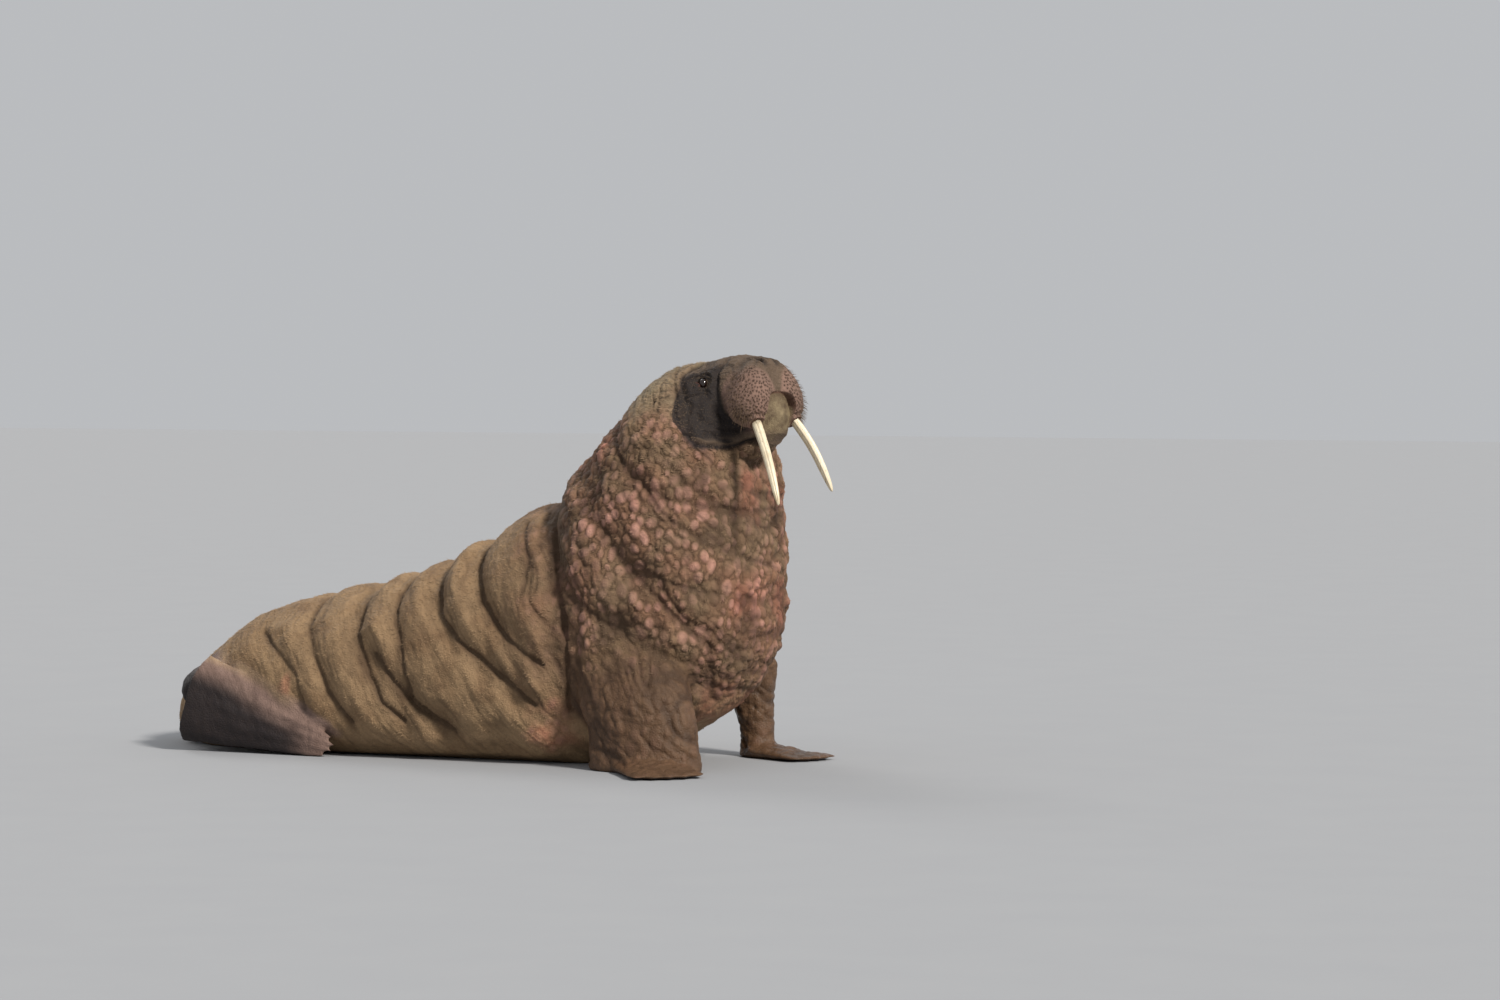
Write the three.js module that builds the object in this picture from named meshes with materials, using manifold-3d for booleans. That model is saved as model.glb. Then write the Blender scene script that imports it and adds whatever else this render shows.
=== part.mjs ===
// A bull walrus that sits up on its fore flippers: a still, life-size model.
// Millimetres. +X is where the body faces, +Y is the animal's left, +Z is up, and z = 0 is the floor.
// The trunk is lofted whole, the head and limbs are joined to it, and thin cuts part it into its nodes.

import * as THREE from 'three';
import { mergeVertices } from 'three/addons/utils/BufferGeometryUtils.js';
import Module from 'manifold-3d';

const wasm = await Module();
wasm.setup();

const { degToRad, lerp } = THREE.MathUtils;

// General sizes
const GAP = 0.3;
const LIMB_GAP = 0.5;

// Trunk stations from the rump to the nape, measured from the middle of the chest:
// the back's point (x, z), the belly's point (x, z), the half width and how heavy the belly is
const TRUNK = [
  [-2150, 130, -2145, 60, 60, 0],
  [-2130, 215, -2125, 0, 150, 0],
  [-2050, 290, -2045, -20, 235, 0.02],
  [-1935, 405, -1930, -45, 320, 0.06],
  [-1750, 530, -1740, -60, 385, 0.08],
  [-1500, 600, -1500, -60, 430, 0.1],
  [-1260, 650, -1220, -60, 455, 0.12],
  [-1000, 716, -920, -60, 465, 0.12],
  [-760, 820, -590, -60, 465, 0.12],
  [-550, 932, -250, -60, 460, 0.1],
  [-388, 1050, 110, 110, 465, 0.06],
  [-262, 1158, 345, 295, 455, 0.03],
  [-170, 1285, 420, 515, 435, 0],
  [-75, 1390, 430, 790, 395, 0],
  [15, 1470, 420, 1010, 335, 0],
  [100, 1512, 395, 1150, 262, 0],
  [165, 1518, 385, 1230, 205, 0],
];
const TRUNK_SIDES = 28;
const TRUNK_RINGS = 3;
const FOLDED_STATIONS = [4, 10];
const FOLDED_RINGS = 5;
const TRUNK_SQUARENESS = 0.88;

// Deep skin folds, drawn on the side of the body as (x, z) points, with their depth and half width.
// Each runs over the back to the other side.
const FOLDS = [
  {
    depth: 32,
    width: 39,
    line: [[-1235, 700], [-1180, 560], [-1120, 440], [-1062, 330], [-990, 215], [-900, 150]],
  },
  { depth: 37, width: 44, line: [[-1040, 400], [-985, 340], [-920, 275], [-820, 200], [-700, 115]] },
  { depth: 19, width: 34, line: [[-1075, 760], [-1000, 600], [-925, 450], [-895, 340], [-870, 240]] },
  {
    depth: 35,
    width: 41,
    line: [[-900, 840], [-830, 660], [-765, 550], [-660, 460], [-520, 375], [-330, 230]],
  },
  {
    depth: 33,
    width: 41,
    line: [[-735, 900], [-670, 740], [-595, 620], [-490, 515], [-370, 425], [-290, 385]],
  },
  {
    depth: 46,
    width: 59,
    line: [[-500, 1080], [-360, 960], [-270, 780], [-222, 600], [-196, 410], [-200, 210], [-240, 40]],
  },
  { depth: 18, width: 32, line: [[-1450, 620], [-1390, 470], [-1305, 355], [-1235, 250], [-1140, 140]] },
  { depth: 18, width: 32, line: [[-1630, 460], [-1480, 375], [-1395, 300], [-1358, 180]] },
  { depth: 16, width: 32, line: [[-470, 900], [-400, 780], [-380, 660]] },
  { depth: 23, width: 37, line: [[60, 760], [190, 640], [280, 530], [325, 470], [310, 370], [275, 250]] },
  { depth: 16, width: 34, line: [[-40, 900], [80, 780], [230, 700], [400, 650]] },
  { depth: 14, width: 32, line: [[-150, 640], [-40, 560], [90, 500], [190, 420]] },
  { depth: 14, width: 34, line: [[-130, 1330], [-40, 1200], [60, 1090], [210, 1010], [420, 960]] },
];
const LEFT_WAVER = [34, 160];
const FOLD_FLOOR = [20, 90];

// Bosses of thick hide on the neck and chest: how many, where they stand on the trunk, and their sizes
const BOSSES = {
  count: 52,
  tries: 4000,
  stations: [10.4, 15.1],
  heights: [420, 1330],
  radius: [26, 38],
  height: [7, 11],
  sink: 9,
  sides: 6,
  apart: 86,
};

// Head: the point between the eyes, how far it turns to the right and how far the nose is raised
const HEAD_AT = [270, -30, 1420];
const HEAD_TURN = degToRad(-17);
const HEAD_RAISE = degToRad(22);
const HEAD_REAR = -50;
const HEAD_UNDERSIDE = -312;

// Skull stations along the head: forward, top, bottom, half width
const SKULL = [
  [-230, 60, -150, 90],
  [-200, 95, -215, 150],
  [-120, 122, -262, 185],
  [-40, 124, -268, 176],
  [30, 112, -250, 152],
  [90, 98, -235, 134],
  [150, 76, -212, 118],
  [200, 52, -175, 104],
  [232, 34, -130, 80],
  [250, 8, -90, 48],
];

// Lower jaw stations: forward, top, bottom, half width
const JAW = [
  [-70, -190, -262, 60],
  [-40, -170, -285, 92],
  [30, -160, -303, 100],
  [100, -146, -302, 94],
  [160, -126, -288, 82],
  [205, -110, -260, 68],
  [229, -110, -216, 52],
  [241, -122, -184, 32],
];

// Muzzle pads: centre (forward, out, up), radii and how they lean out
const PAD_AT = [166, 78, -106];
const PAD_RADII = [96, 80, 118];
const PAD_LEAN = degToRad(20);

// Eyes, lids and nostrils
const EYE_AT = [14, 133, 14];
const EYE_RADIUS = 19;
const LID_RADII = [21, 7];
const LID_STRETCH = [1.15, 1, 0.9];
const LID_LEAN = degToRad(-14);
const NOSTRIL_AT = [226, 30, 30];
const NOSTRIL_RADII = [22, 7, 15];
const NOSTRIL_LEAN = degToRad(-35);

// Ears: the place beside the middle plane (forward, up), the rim's ring and stretch, and the hole's radii
const EAR_AT = [-108, -4];
const EAR_RIM = [12, 5];
const EAR_HOLE = [7.2, 9, 10.8];
const EAR_STRETCH = [0.8, 1, 1.2];

// Whiskers of each pad: rows from top to bottom, the angles that they span on the pad, and their sizes
const WHISKERS = {
  rows: 6,
  inRow: 6,
  tilt: [30, -64],
  swing: [-18, 94],
  length: [26, 62],
  radius: [2.2, 0.6],
  sink: 9,
};

// Tusks: root inside the pads, tip, radius at the root, the left one's share and the bow of the curve
const TUSK_ROOT = [156, 78, -106];
const TUSK_TIP = [236, 164, -556];
const TUSK_RADIUS = 21;
const TUSK_LEFT = 0.89;
const TUSK_BOW = 22;

// Fore limbs: path of each arm (x, out, z) with its half thickness and half width.
// The right one is spread wider, and its loose hide hangs to the floor.
const ARMS = {
  left: [
    [60, 225, 480, 110, 140],
    [160, 300, 385, 112, 142],
    [192, 330, 280, 88, 108],
    [208, 330, 160, 68, 78],
    [218, 325, 60, 62, 70],
    [222, 322, -12, 64, 76],
  ],
  right: [
    [-80, 230, 480, 120, 170],
    [0, 320, 385, 148, 205],
    [62, 375, 270, 142, 225],
    [105, 400, 150, 128, 225],
    [122, 412, 60, 122, 232],
    [128, 418, -12, 120, 238],
  ],
};
const HANDS = {
  left: {
    at: [218, 322],
    heading: degToRad(-16),
    length: 345,
    width: [85, 125],
    thick: [62, 17],
    height: 12,
  },
  right: {
    at: [140, 430],
    heading: degToRad(48),
    length: 380,
    width: [140, 155],
    thick: [76, 17],
    height: 12,
  },
};

// Hind limbs, folded forward beside the rump, each leaning on its outer edge
const SHANK = [
  [-1740, 90, 240, 120, 150],
  [-1790, 200, 240, 122, 150],
  [-1835, 300, 235, 116, 145],
  [-1860, 370, 220, 95, 125],
  [-1868, 420, 205, 50, 70],
];
const FOOT = {
  at: [-1865, 405],
  heading: degToRad(4),
  pitch: degToRad(13.5),
  roll: degToRad(78),
  length: 690,
  width: [180, 66],
  thick: [95, 20],
  height: 205,
};

const TAIL = [
  [-2060, 0, 150, 60, 60],
  [-2150, 0, 120, 42, 46],
  [-2195, 0, 92, 26, 30],
  [-2220, 0, 70, 12, 16],
];

// Where the trunk is parted: a point (x, z) on each cut and the direction the cut faces
const CUTS = [
  { at: [-1620, 300], facing: [1, 0.02] },
  { at: [-1020, 300], facing: [1, 0.12] },
  { at: [-310, 512], facing: [0.958, 0.285] },
  { at: [90, 1025], facing: [0.55, 0.83] },
];
const TRUNK_NODES = ['rump', 'abdomen', 'torso', 'chest', 'neck'];

// Closed meshes and solids

function signedVolume(points, index) {
  let sum = 0;
  const [a, b, c] = [new THREE.Vector3(), new THREE.Vector3(), new THREE.Vector3()];
  for (let i = 0; i < index.length; i += 3) {
    a.fromArray(points, 3 * index[i]);
    b.fromArray(points, 3 * index[i + 1]);
    c.fromArray(points, 3 * index[i + 2]);
    sum += a.dot(b.cross(c)) / 6;
  }
  return sum;
}

// A solid from a closed three.js geometry, with its faces turned out
function toSolid(geometry) {
  const bare = geometry.clone();
  bare.deleteAttribute('normal');
  bare.deleteAttribute('uv');
  const merged = mergeVertices(bare, 1e-3);
  const points = new Float32Array(merged.attributes.position.array);
  const index = new Uint32Array(merged.index.array);
  if (signedVolume(points, index) < 0) index.reverse();
  return new wasm.Manifold(new wasm.Mesh({ numProp: 3, vertProperties: points, triVerts: index }));
}

function toGeometry(solid) {
  const mesh = solid.getMesh();
  const geometry = new THREE.BufferGeometry();
  geometry.setAttribute('position', new THREE.BufferAttribute(new Float32Array(mesh.vertProperties), 3));
  geometry.setIndex(new THREE.BufferAttribute(new Uint32Array(mesh.triVerts), 1));
  geometry.computeVertexNormals();
  return geometry;
}

function largestPiece(solid) {
  return solid.decompose().sort((a, b) => b.volume() - a.volume())[0];
}

const mirrored = (solid) => solid.mirror([0, 1, 0]);

// A ladder of triangles across a ring, between its two halves
function capOf(sides) {
  const triangles = [];
  let low = 0;
  let high = sides - 1;
  while (high - low > 1) {
    triangles.push([low, low + 1, high]);
    low += 1;
    if (high - low > 1) {
      triangles.push([low, high - 1, high]);
      high -= 1;
    }
  }
  return triangles;
}

// A skin over rings of points, closed by a cap at each end
function loft(rings) {
  const sides = rings[0].length;
  const last = (rings.length - 1) * sides;
  const index = [];
  for (let i = 0; i < sides; i += 1) {
    const j = (i + 1) % sides;
    for (let r = 0; r < last; r += sides) {
      index.push(r + i, r + j, r + i + sides, r + j, r + j + sides, r + i + sides);
    }
  }
  for (const [a, b, c] of capOf(sides)) index.push(a, c, b, last + a, last + b, last + c);
  const geometry = new THREE.BufferGeometry();
  const points = rings.flat().flatMap((p) => [p.x, p.y, p.z]);
  geometry.setAttribute('position', new THREE.Float32BufferAttribute(points, 3));
  geometry.setIndex(index);
  return toSolid(geometry);
}

// A row between a table's rows, on a smooth curve through each column
function rowAt(table, station) {
  const first = Math.min(Math.floor(station), table.length - 2);
  const u = station - first;
  const row = (n) => table[Math.max(0, Math.min(table.length - 1, n))];
  return row(first).map((p1, k) => {
    const [p0, p2, p3] = [row(first - 1)[k], row(first + 1)[k], row(first + 2)[k]];
    const bend = (2 * p0 - 5 * p1 + 4 * p2 - p3) * u * u;
    const twist = (3 * p1 - p0 - 3 * p2 + p3) * u * u * u;
    return p1 + ((p2 - p0) * u + bend + twist) / 2;
  });
}

function sampled(table, perStation) {
  const steps = (table.length - 1) * perStation;
  return Array.from({ length: steps + 1 }, (_, k) => rowAt(table, k / perStation));
}

function ringOf(sides, pointAt) {
  return Array.from({ length: sides }, (_, i) => pointAt((2 * Math.PI * i) / sides));
}

// Trunk

const signedPower = (value, power) => Math.sign(value) * Math.abs(value) ** power;

function trunkPoint([backX, backZ, bellyX, bellyZ, halfWidth, heavy], angle) {
  const rise = 0.5 + 0.5 * signedPower(Math.cos(angle), TRUNK_SQUARENESS);
  const out = signedPower(Math.sin(angle), TRUNK_SQUARENESS) * (1 - heavy * Math.cos(angle));
  const z = Math.max(0, lerp(bellyZ, backZ, rise));
  return new THREE.Vector3(lerp(bellyX, backX, rise), halfWidth * out, z);
}

const foldLines = FOLDS.map(({ depth, width, line }) => {
  const corners = line.map(([x, z]) => new THREE.Vector3(x, 0, z));
  const stretches = corners.slice(1).map((corner, k) => new THREE.Line3(corners[k], corner));
  return { depth, width, stretches };
});

// How far a point of the hide sinks into a fold, or swells beside it
function foldDepth(point) {
  const waver = point.y > 0 ? LEFT_WAVER[0] * Math.sin(point.z / LEFT_WAVER[1]) : 0;
  const flat = new THREE.Vector3(point.x + waver, 0, point.z);
  const nearest = new THREE.Vector3();
  const fade = THREE.MathUtils.smoothstep(point.z, ...FOLD_FLOOR);
  return fade * foldLines.reduce((sum, { depth, width, stretches }) => {
    const away = Math.min(...stretches.map((part) => (
      part.closestPointToPoint(flat, true, nearest).distanceTo(flat)
    )));
    const groove = Math.exp(-((away / width) ** 2));
    const swell = 0.4 * Math.exp(-(((away - 2.3 * width) / (1.2 * width)) ** 2));
    return sum + depth * (groove - swell);
  }, 0);
}

function foldedPoint(row, angle) {
  const point = trunkPoint(row, angle);
  const middle = new THREE.Vector3((row[0] + row[2]) / 2, 0, (row[1] + row[3]) / 2);
  const inward = middle.sub(point).normalize();
  const folded = point.clone().addScaledVector(inward, foldDepth(point));
  if (point.z === 0) folded.z = 0;
  return folded;
}

// The rings stand closer where the folds are
function trunkStations() {
  const stations = [0];
  while (stations.at(-1) < TRUNK.length - 1) {
    const folded = stations.at(-1) >= FOLDED_STATIONS[0] && stations.at(-1) < FOLDED_STATIONS[1];
    const next = stations.at(-1) + 1 / (folded ? FOLDED_RINGS : TRUNK_RINGS);
    stations.push(Math.round(next * 1e6) / 1e6);
  }
  return stations;
}

const trunkRing = (row) => ringOf(TRUNK_SIDES, (angle) => foldedPoint(row, angle));

// A low dome of thick hide, its root sunk in along the surface's normal
function boss(at, normal, radius, height) {
  const { sink, sides } = BOSSES;
  const turn = new THREE.Quaternion().setFromUnitVectors(new THREE.Vector3(0, 0, 1), normal);
  const level = (rise, size) => ringOf(sides, (angle) => (
    new THREE.Vector3(size * Math.cos(angle), size * Math.sin(angle), rise).applyQuaternion(turn).add(at)
  ));
  return loft([level(-sink, 1.1 * radius), level(0.5 * height, 0.92 * radius), level(height, 0.42 * radius)]);
}

// A seeded draw, the same on each run
function draws(seed) {
  let state = seed;
  return () => {
    state = (state * 1664525 + 1013904223) % 4294967296;
    return state / 4294967296;
  };
}

function bosses() {
  const draw = draws(7);
  const { count, tries, stations, heights, radius, height, apart } = BOSSES;
  const placed = [];
  const solids = [];
  for (let tried = 0; tried < tries && solids.length < count; tried += 1) {
    const station = lerp(...stations, draw());
    const angle = 2 * Math.PI * draw();
    const row = rowAt(TRUNK, station);
    const at = foldedPoint(row, angle);
    const onNeck = at.z > heights[0] && at.z < heights[1];
    if (!onNeck || placed.some((other) => other.distanceTo(at) < apart)) continue;
    const ahead = foldedPoint(rowAt(TRUNK, station + 0.05), angle).sub(at);
    const round = foldedPoint(row, angle + 0.05).sub(at);
    const normal = round.cross(ahead).normalize();
    const middle = new THREE.Vector3((row[0] + row[2]) / 2, 0, (row[1] + row[3]) / 2);
    if (normal.dot(at.clone().sub(middle)) < 0) normal.negate();
    placed.push(at);
    solids.push(boss(at, normal, lerp(...radius, draw()), lerp(...height, draw())));
  }
  return solids;
}

// Head pieces, in the head's own frame: forward, left, up

const headFrame = new THREE.Matrix4()
  .makeTranslation(...HEAD_AT)
  .multiply(new THREE.Matrix4().makeRotationZ(HEAD_TURN))
  .multiply(new THREE.Matrix4().makeRotationY(-HEAD_RAISE));

const inHead = (solid) => solid.transform(headFrame.elements);

function headLoft(table, sides, perStation, grow = 0) {
  const rows = sampled(table, perStation);
  return loft(rows.map(([forward, top, bottom, halfWidth], k) => {
    const ends = k === 0 ? -grow : k === rows.length - 1 ? grow : 0;
    return ringOf(sides, (angle) => {
      const up = (top + bottom) / 2 + ((top - bottom) / 2 + grow) * Math.cos(angle);
      return new THREE.Vector3(forward + ends, (halfWidth + grow) * Math.sin(angle), up);
    });
  }));
}

const skullForm = (grow = 0) => headLoft(SKULL, 18, 2, grow);
const jawForm = (grow = 0) => headLoft(JAW, 14, 1, grow);

function ball(at, radii, lean, detail) {
  const geometry = new THREE.SphereGeometry(1, detail, Math.round(detail / 2));
  geometry.rotateX(Math.PI / 2);
  geometry.scale(...radii);
  geometry.rotateX(lean);
  geometry.translate(...at);
  return toSolid(geometry);
}

function pad(grow = 0) {
  return ball(PAD_AT, PAD_RADII.map((radius) => radius + grow), PAD_LEAN, 18);
}

function tusk(grow = 0, share = 1) {
  const steps = 8;
  const rings = [];
  for (let k = 0; k <= steps; k += 1) {
    const t = k / steps;
    const bow = TUSK_BOW * Math.sin(Math.PI * t);
    const ends = k === 0 ? grow : k === steps ? -grow : 0;
    const [forward, out, up] = TUSK_ROOT.map((value, axis) => lerp(value, TUSK_TIP[axis], t * share));
    const radius = TUSK_RADIUS * (1 - 0.25 * t) * Math.sqrt(1.03 - t ** 6) + grow;
    rings.push(ringOf(10, (angle) => new THREE.Vector3(
      forward + bow + radius * Math.cos(angle),
      out + 0.4 * bow + 0.84 * radius * Math.sin(angle),
      up + ends,
    )));
  }
  return loft(rings);
}

function eyelids() {
  const ring = new THREE.TorusGeometry(LID_RADII[0], LID_RADII[1], 6, 12);
  ring.rotateX(Math.PI / 2);
  ring.scale(...LID_STRETCH);
  ring.rotateZ(LID_LEAN);
  ring.translate(...EYE_AT);
  return toSolid(ring);
}

// How far out the hide lies beside a point of the head's middle plane
function hideBeside(solid, forward, up) {
  const post = new THREE.BoxGeometry(4, 400, 4);
  post.translate(forward, 200, up);
  const cut = toGeometry(solid.intersect(inHead(toSolid(post))));
  cut.applyMatrix4(headFrame.clone().invert());
  cut.computeBoundingBox();
  return cut.boundingBox.max.y;
}

// A neck with its ears: a low rim round a small hole on each side
function withEars(solid) {
  const [forward, up] = EAR_AT;
  const at = [forward, hideBeside(solid, forward, up), up];
  const rim = new THREE.TorusGeometry(...EAR_RIM, 5, 9);
  rim.rotateX(Math.PI / 2);
  rim.scale(...EAR_STRETCH);
  rim.translate(...at);
  const rims = both(toSolid(rim));
  return without(joined(solid, rims), both(ball(at, EAR_HOLE, 0, 8)));
}

// Limbs, for the left side

function limb(table, grow = 0) {
  const rows = sampled(table, 2);
  const path = rows.map(([x, out, z]) => new THREE.Vector3(x, out, z));
  return loft(rows.map(([, , , thick, wide], k) => {
    const along = path[Math.min(k + 1, path.length - 1)].clone().sub(path[Math.max(k - 1, 0)]).normalize();
    const across = new THREE.Vector3(1, 0, 0).addScaledVector(along, -along.x).normalize();
    const normal = along.clone().cross(across);
    const ends = k === 0 ? -grow : k === path.length - 1 ? grow : 0;
    return ringOf(14, (angle) => path[k].clone()
      .addScaledVector(along, ends)
      .addScaledVector(across, (wide + grow) * Math.cos(angle))
      .addScaledVector(normal, (thick + grow) * Math.sin(angle)));
  }));
}

// The paddle of a flipper as one form: five digits as ridges that end in a scalloped edge
function paddle({ at, heading, length, width, thick, height, pitch = 0, roll = 0 }, grow = 0) {
  const steps = 10;
  const across = Array.from({ length: steps + 1 }, (_, k) => -1 + (2 * k) / steps);
  const spots = across.map((y) => [y, 1]).concat(across.slice(1, -1).reverse().map((y) => [y, -0.45]));
  const rings = [0, 0.25, 0.5, 0.72, 0.9, 1].map((t) => spots.map(([y, face]) => {
    const valley = Math.abs(y) < 1 ? 0.5 - 0.5 * Math.cos(5 * Math.PI * y) : 0;
    const reach = length * t * (1 - 0.12 * (y - 0.15) ** 2 * t - 0.06 * valley * t ** 3);
    const tip = t === 1 ? 0.3 : 1;
    const deep = lerp(...thick, Math.sqrt(t)) * tip * (1 - 0.4 * valley * t) * Math.sqrt(1 - 0.96 * y * y);
    const ends = t === 0 ? -grow : t === 1 ? 3 * grow : grow;
    const lift = Math.abs(y) < 1 ? Math.sign(face) * grow : 0;
    return new THREE.Vector3(reach + ends, (lerp(...width, t) + grow) * y, face * deep + lift);
  }));
  const frame = new THREE.Matrix4()
    .makeTranslation(at[0], at[1], height)
    .multiply(new THREE.Matrix4().makeRotationZ(heading))
    .multiply(new THREE.Matrix4().makeRotationY(pitch))
    .multiply(new THREE.Matrix4().makeRotationX(-roll));
  return loft(rings).transform(frame.elements);
}

const onFloor = (solid) => solid.trimByPlane([0, 0, 1], 0);

// Join and part

const without = (solid, ...cutters) => cutters.flat().reduce((rest, cutter) => rest.subtract(cutter), solid);
const joined = (...solids) => solids.flat().reduce((sum, solid) => sum.add(solid));
const bothSides = (solid) => [solid, mirrored(solid)];

const trunk = joined(loft(trunkStations().map((station) => trunkRing(rowAt(TRUNK, station)))), bosses());
const foreLimb = (side, grow = 0) => joined(limb(ARMS[side], grow), paddle(HANDS[side], grow));
const hindLimb = (grow = 0) => joined(limb(SHANK, grow), paddle(FOOT, grow));
const hindSockets = bothSides(hindLimb(LIMB_GAP));
const foreSockets = [foreLimb('left', LIMB_GAP), mirrored(foreLimb('right', LIMB_GAP))];
const body = without(trunk, hindSockets, foreSockets, limb(TAIL, LIMB_GAP));

const cutPlanes = CUTS.map(({ at, facing }) => {
  const normal = new THREE.Vector3(facing[0], 0, facing[1]).normalize();
  return { normal, offset: normal.dot(new THREE.Vector3(at[0], 0, at[1])) };
});

function between(solid, behind, ahead) {
  let piece = solid;
  if (behind) piece = piece.trimByPlane(behind.normal.toArray(), behind.offset + GAP / 2);
  if (ahead) piece = piece.trimByPlane(ahead.normal.clone().negate().toArray(), -ahead.offset + GAP / 2);
  return piece;
}

const trunkPieces = TRUNK_NODES.map((name, k) => between(body, cutPlanes[k - 1], cutPlanes[k]));

// The head's block holds everything ahead of its rear plane and above its underside
function headBlock(grow = 0) {
  const box = new THREE.BoxGeometry(600 + 2 * grow, 800 + 2 * grow, 600 + 2 * grow);
  box.translate(HEAD_REAR + 300, 0, HEAD_UNDERSIDE + 300);
  return inHead(toSolid(box));
}

const throughNeck = trunkPieces[4].add(inHead(skullForm()));
const both = (solid) => [inHead(solid), inHead(mirrored(solid))];

const nostrils = both(ball(NOSTRIL_AT, NOSTRIL_RADII, NOSTRIL_LEAN, 10));
const padSockets = both(pad(GAP));
const tuskSockets = [inHead(tusk(GAP, TUSK_LEFT)), inHead(mirrored(tusk(GAP)))];
const eyeball = (radius) => ball(EYE_AT, [radius, radius, radius], 0, 12);
const eyes = both(eyeball(EYE_RADIUS));
const eyeSockets = both(eyeball(EYE_RADIUS + GAP));
const lids = both(eyelids());
const jawSocket = inHead(jawForm(GAP));

const skull = lids.reduce((sum, lid) => sum.add(lid), throughNeck.intersect(headBlock()));
const head = without(skull, jawSocket, padSockets, tuskSockets, eyeSockets, nostrils);
const neck = withEars(without(throughNeck, headBlock(GAP), jawSocket));
const jaw = without(inHead(jawForm()), tuskSockets);

// A whisker as a tapered three-sided spine that droops
function whisker(at, along, length) {
  const { radius, sink } = WHISKERS;
  const droop = new THREE.Vector3(0, 0, -0.16 * length);
  const side = new THREE.Vector3(0, 0, 1).cross(along).normalize();
  const over = along.clone().cross(side);
  const level = (t, size) => ringOf(3, (angle) => at.clone()
    .addScaledVector(along, lerp(-sink, length, t))
    .addScaledVector(droop, t * t)
    .addScaledVector(side, size * Math.cos(angle))
    .addScaledVector(over, size * Math.sin(angle)));
  return loft([level(0, radius[0]), level(0.6, lerp(...radius, 0.5)), level(1, radius[1])]);
}

// The left pad's whiskers, set in curved rows and longest low on the outer side, clear of what is round it
function whiskers(pillow) {
  const draw = draws(21);
  const { rows, inRow, tilt, swing, length } = WHISKERS;
  const radii = new THREE.Vector3(...PAD_RADII);
  const lean = new THREE.Matrix4().makeRotationX(PAD_LEAN);
  const turn = new THREE.Matrix4().makeTranslation(...PAD_AT).multiply(lean);
  const around = joined(skullForm(2 * GAP), jawForm(2 * GAP), tusk(2 * GAP));
  const solids = [];
  for (let row = 0; row < rows; row += 1) {
    const raised = degToRad(lerp(...tilt, row / (rows - 1)));
    for (let k = 0; k < inRow; k += 1) {
      const inPlace = (k + 0.5 * (row % 2)) / (inRow - 0.5);
      const turned = degToRad(lerp(...swing, inPlace) + 6 * (draw() - 0.5));
      const level = Math.cos(raised);
      const round = new THREE.Vector3(level * Math.cos(turned), level * Math.sin(turned), Math.sin(raised));
      const at = round.clone().multiply(radii).applyMatrix4(turn);
      const along = round.clone().divide(radii).transformDirection(turn);
      along.add(new THREE.Vector3(0.15 * draw(), 0.3, -0.35)).normalize();
      const low = (row / (rows - 1) + k / (inRow - 1)) / 2;
      const spine = whisker(at, along, lerp(...length, low) * lerp(0.8, 1.1, draw()));
      if (at.y > 12 && spine.subtract(pillow).intersect(around).isEmpty()) solids.push(spine);
    }
  }
  return solids;
}

// A left pad parted from its twin at the middle, with its whiskers rooted in it and a tusk's socket
function leftPad(tuskShare) {
  const jawRoom = jawForm(GAP);
  const inner = pad().trimByPlane([0, 1, 0], GAP / 2);
  const half = without(inner, jawRoom, mirrored(jawRoom), tusk(GAP, tuskShare));
  return joined(without(half, ball(NOSTRIL_AT, NOSTRIL_RADII, NOSTRIL_LEAN, 10)), whiskers(half));
}

// Finish of each node

function finish(color, roughness) {
  return new THREE.MeshStandardMaterial({ color, roughness, metalness: 0 });
}

const hide = finish(0x8a6a50, 0.8);
const neckHide = finish(0x7d614c, 0.8);
const face = finish(0x75635a, 0.75);
const padHide = finish(0x96786a, 0.7);
const foreHide = finish(0x5d4a42, 0.5);
const hindHide = finish(0x6b5b5c, 0.5);
const ivory = finish(0xe9dfc8, 0.35);
const eyeGloss = finish(0x1b1411, 0.1);

const group = new THREE.Group();

function addNode(name, solid, material) {
  const mesh = new THREE.Mesh(toGeometry(largestPiece(solid)), material);
  mesh.name = name;
  group.add(mesh);
}

trunkPieces.slice(0, 4).forEach((piece, k) => addNode(TRUNK_NODES[k], piece, hide));
addNode('neck', neck, neckHide);
addNode('head', head, face);
addNode('lower_jaw', jaw, face);
addNode('tail', without(limb(TAIL), hindSockets), hide);
['left', 'right'].forEach((side, k) => {
  const tuskShare = side === 'left' ? TUSK_LEFT : 1;
  addNode(`muzzle_pad_${side}`, both(leftPad(tuskShare))[k], padHide);
  addNode(`tusk_${side}`, both(tusk(0, tuskShare))[k], ivory);
  addNode(`eye_${side}`, eyes[k], eyeGloss);
  addNode(`fore_flipper_${side}`, onFloor(bothSides(foreLimb(side))[k]), foreHide);
  addNode(`hind_flipper_${side}`, onFloor(bothSides(hindLimb())[k]), hindHide);
});

// The origin is the middle of the underside
const middle = new THREE.Box3().setFromObject(group).getCenter(new THREE.Vector3());
group.position.set(-middle.x, -middle.y, 0);

export default group;
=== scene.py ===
"""A bull walrus sitting up, as a life-size still model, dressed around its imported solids."""

import itertools
import math
import random

import bmesh
import bpy
import numpy as np
from mathutils import Matrix, Vector, kdtree
from mathutils.bvhtree import BVHTree


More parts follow.
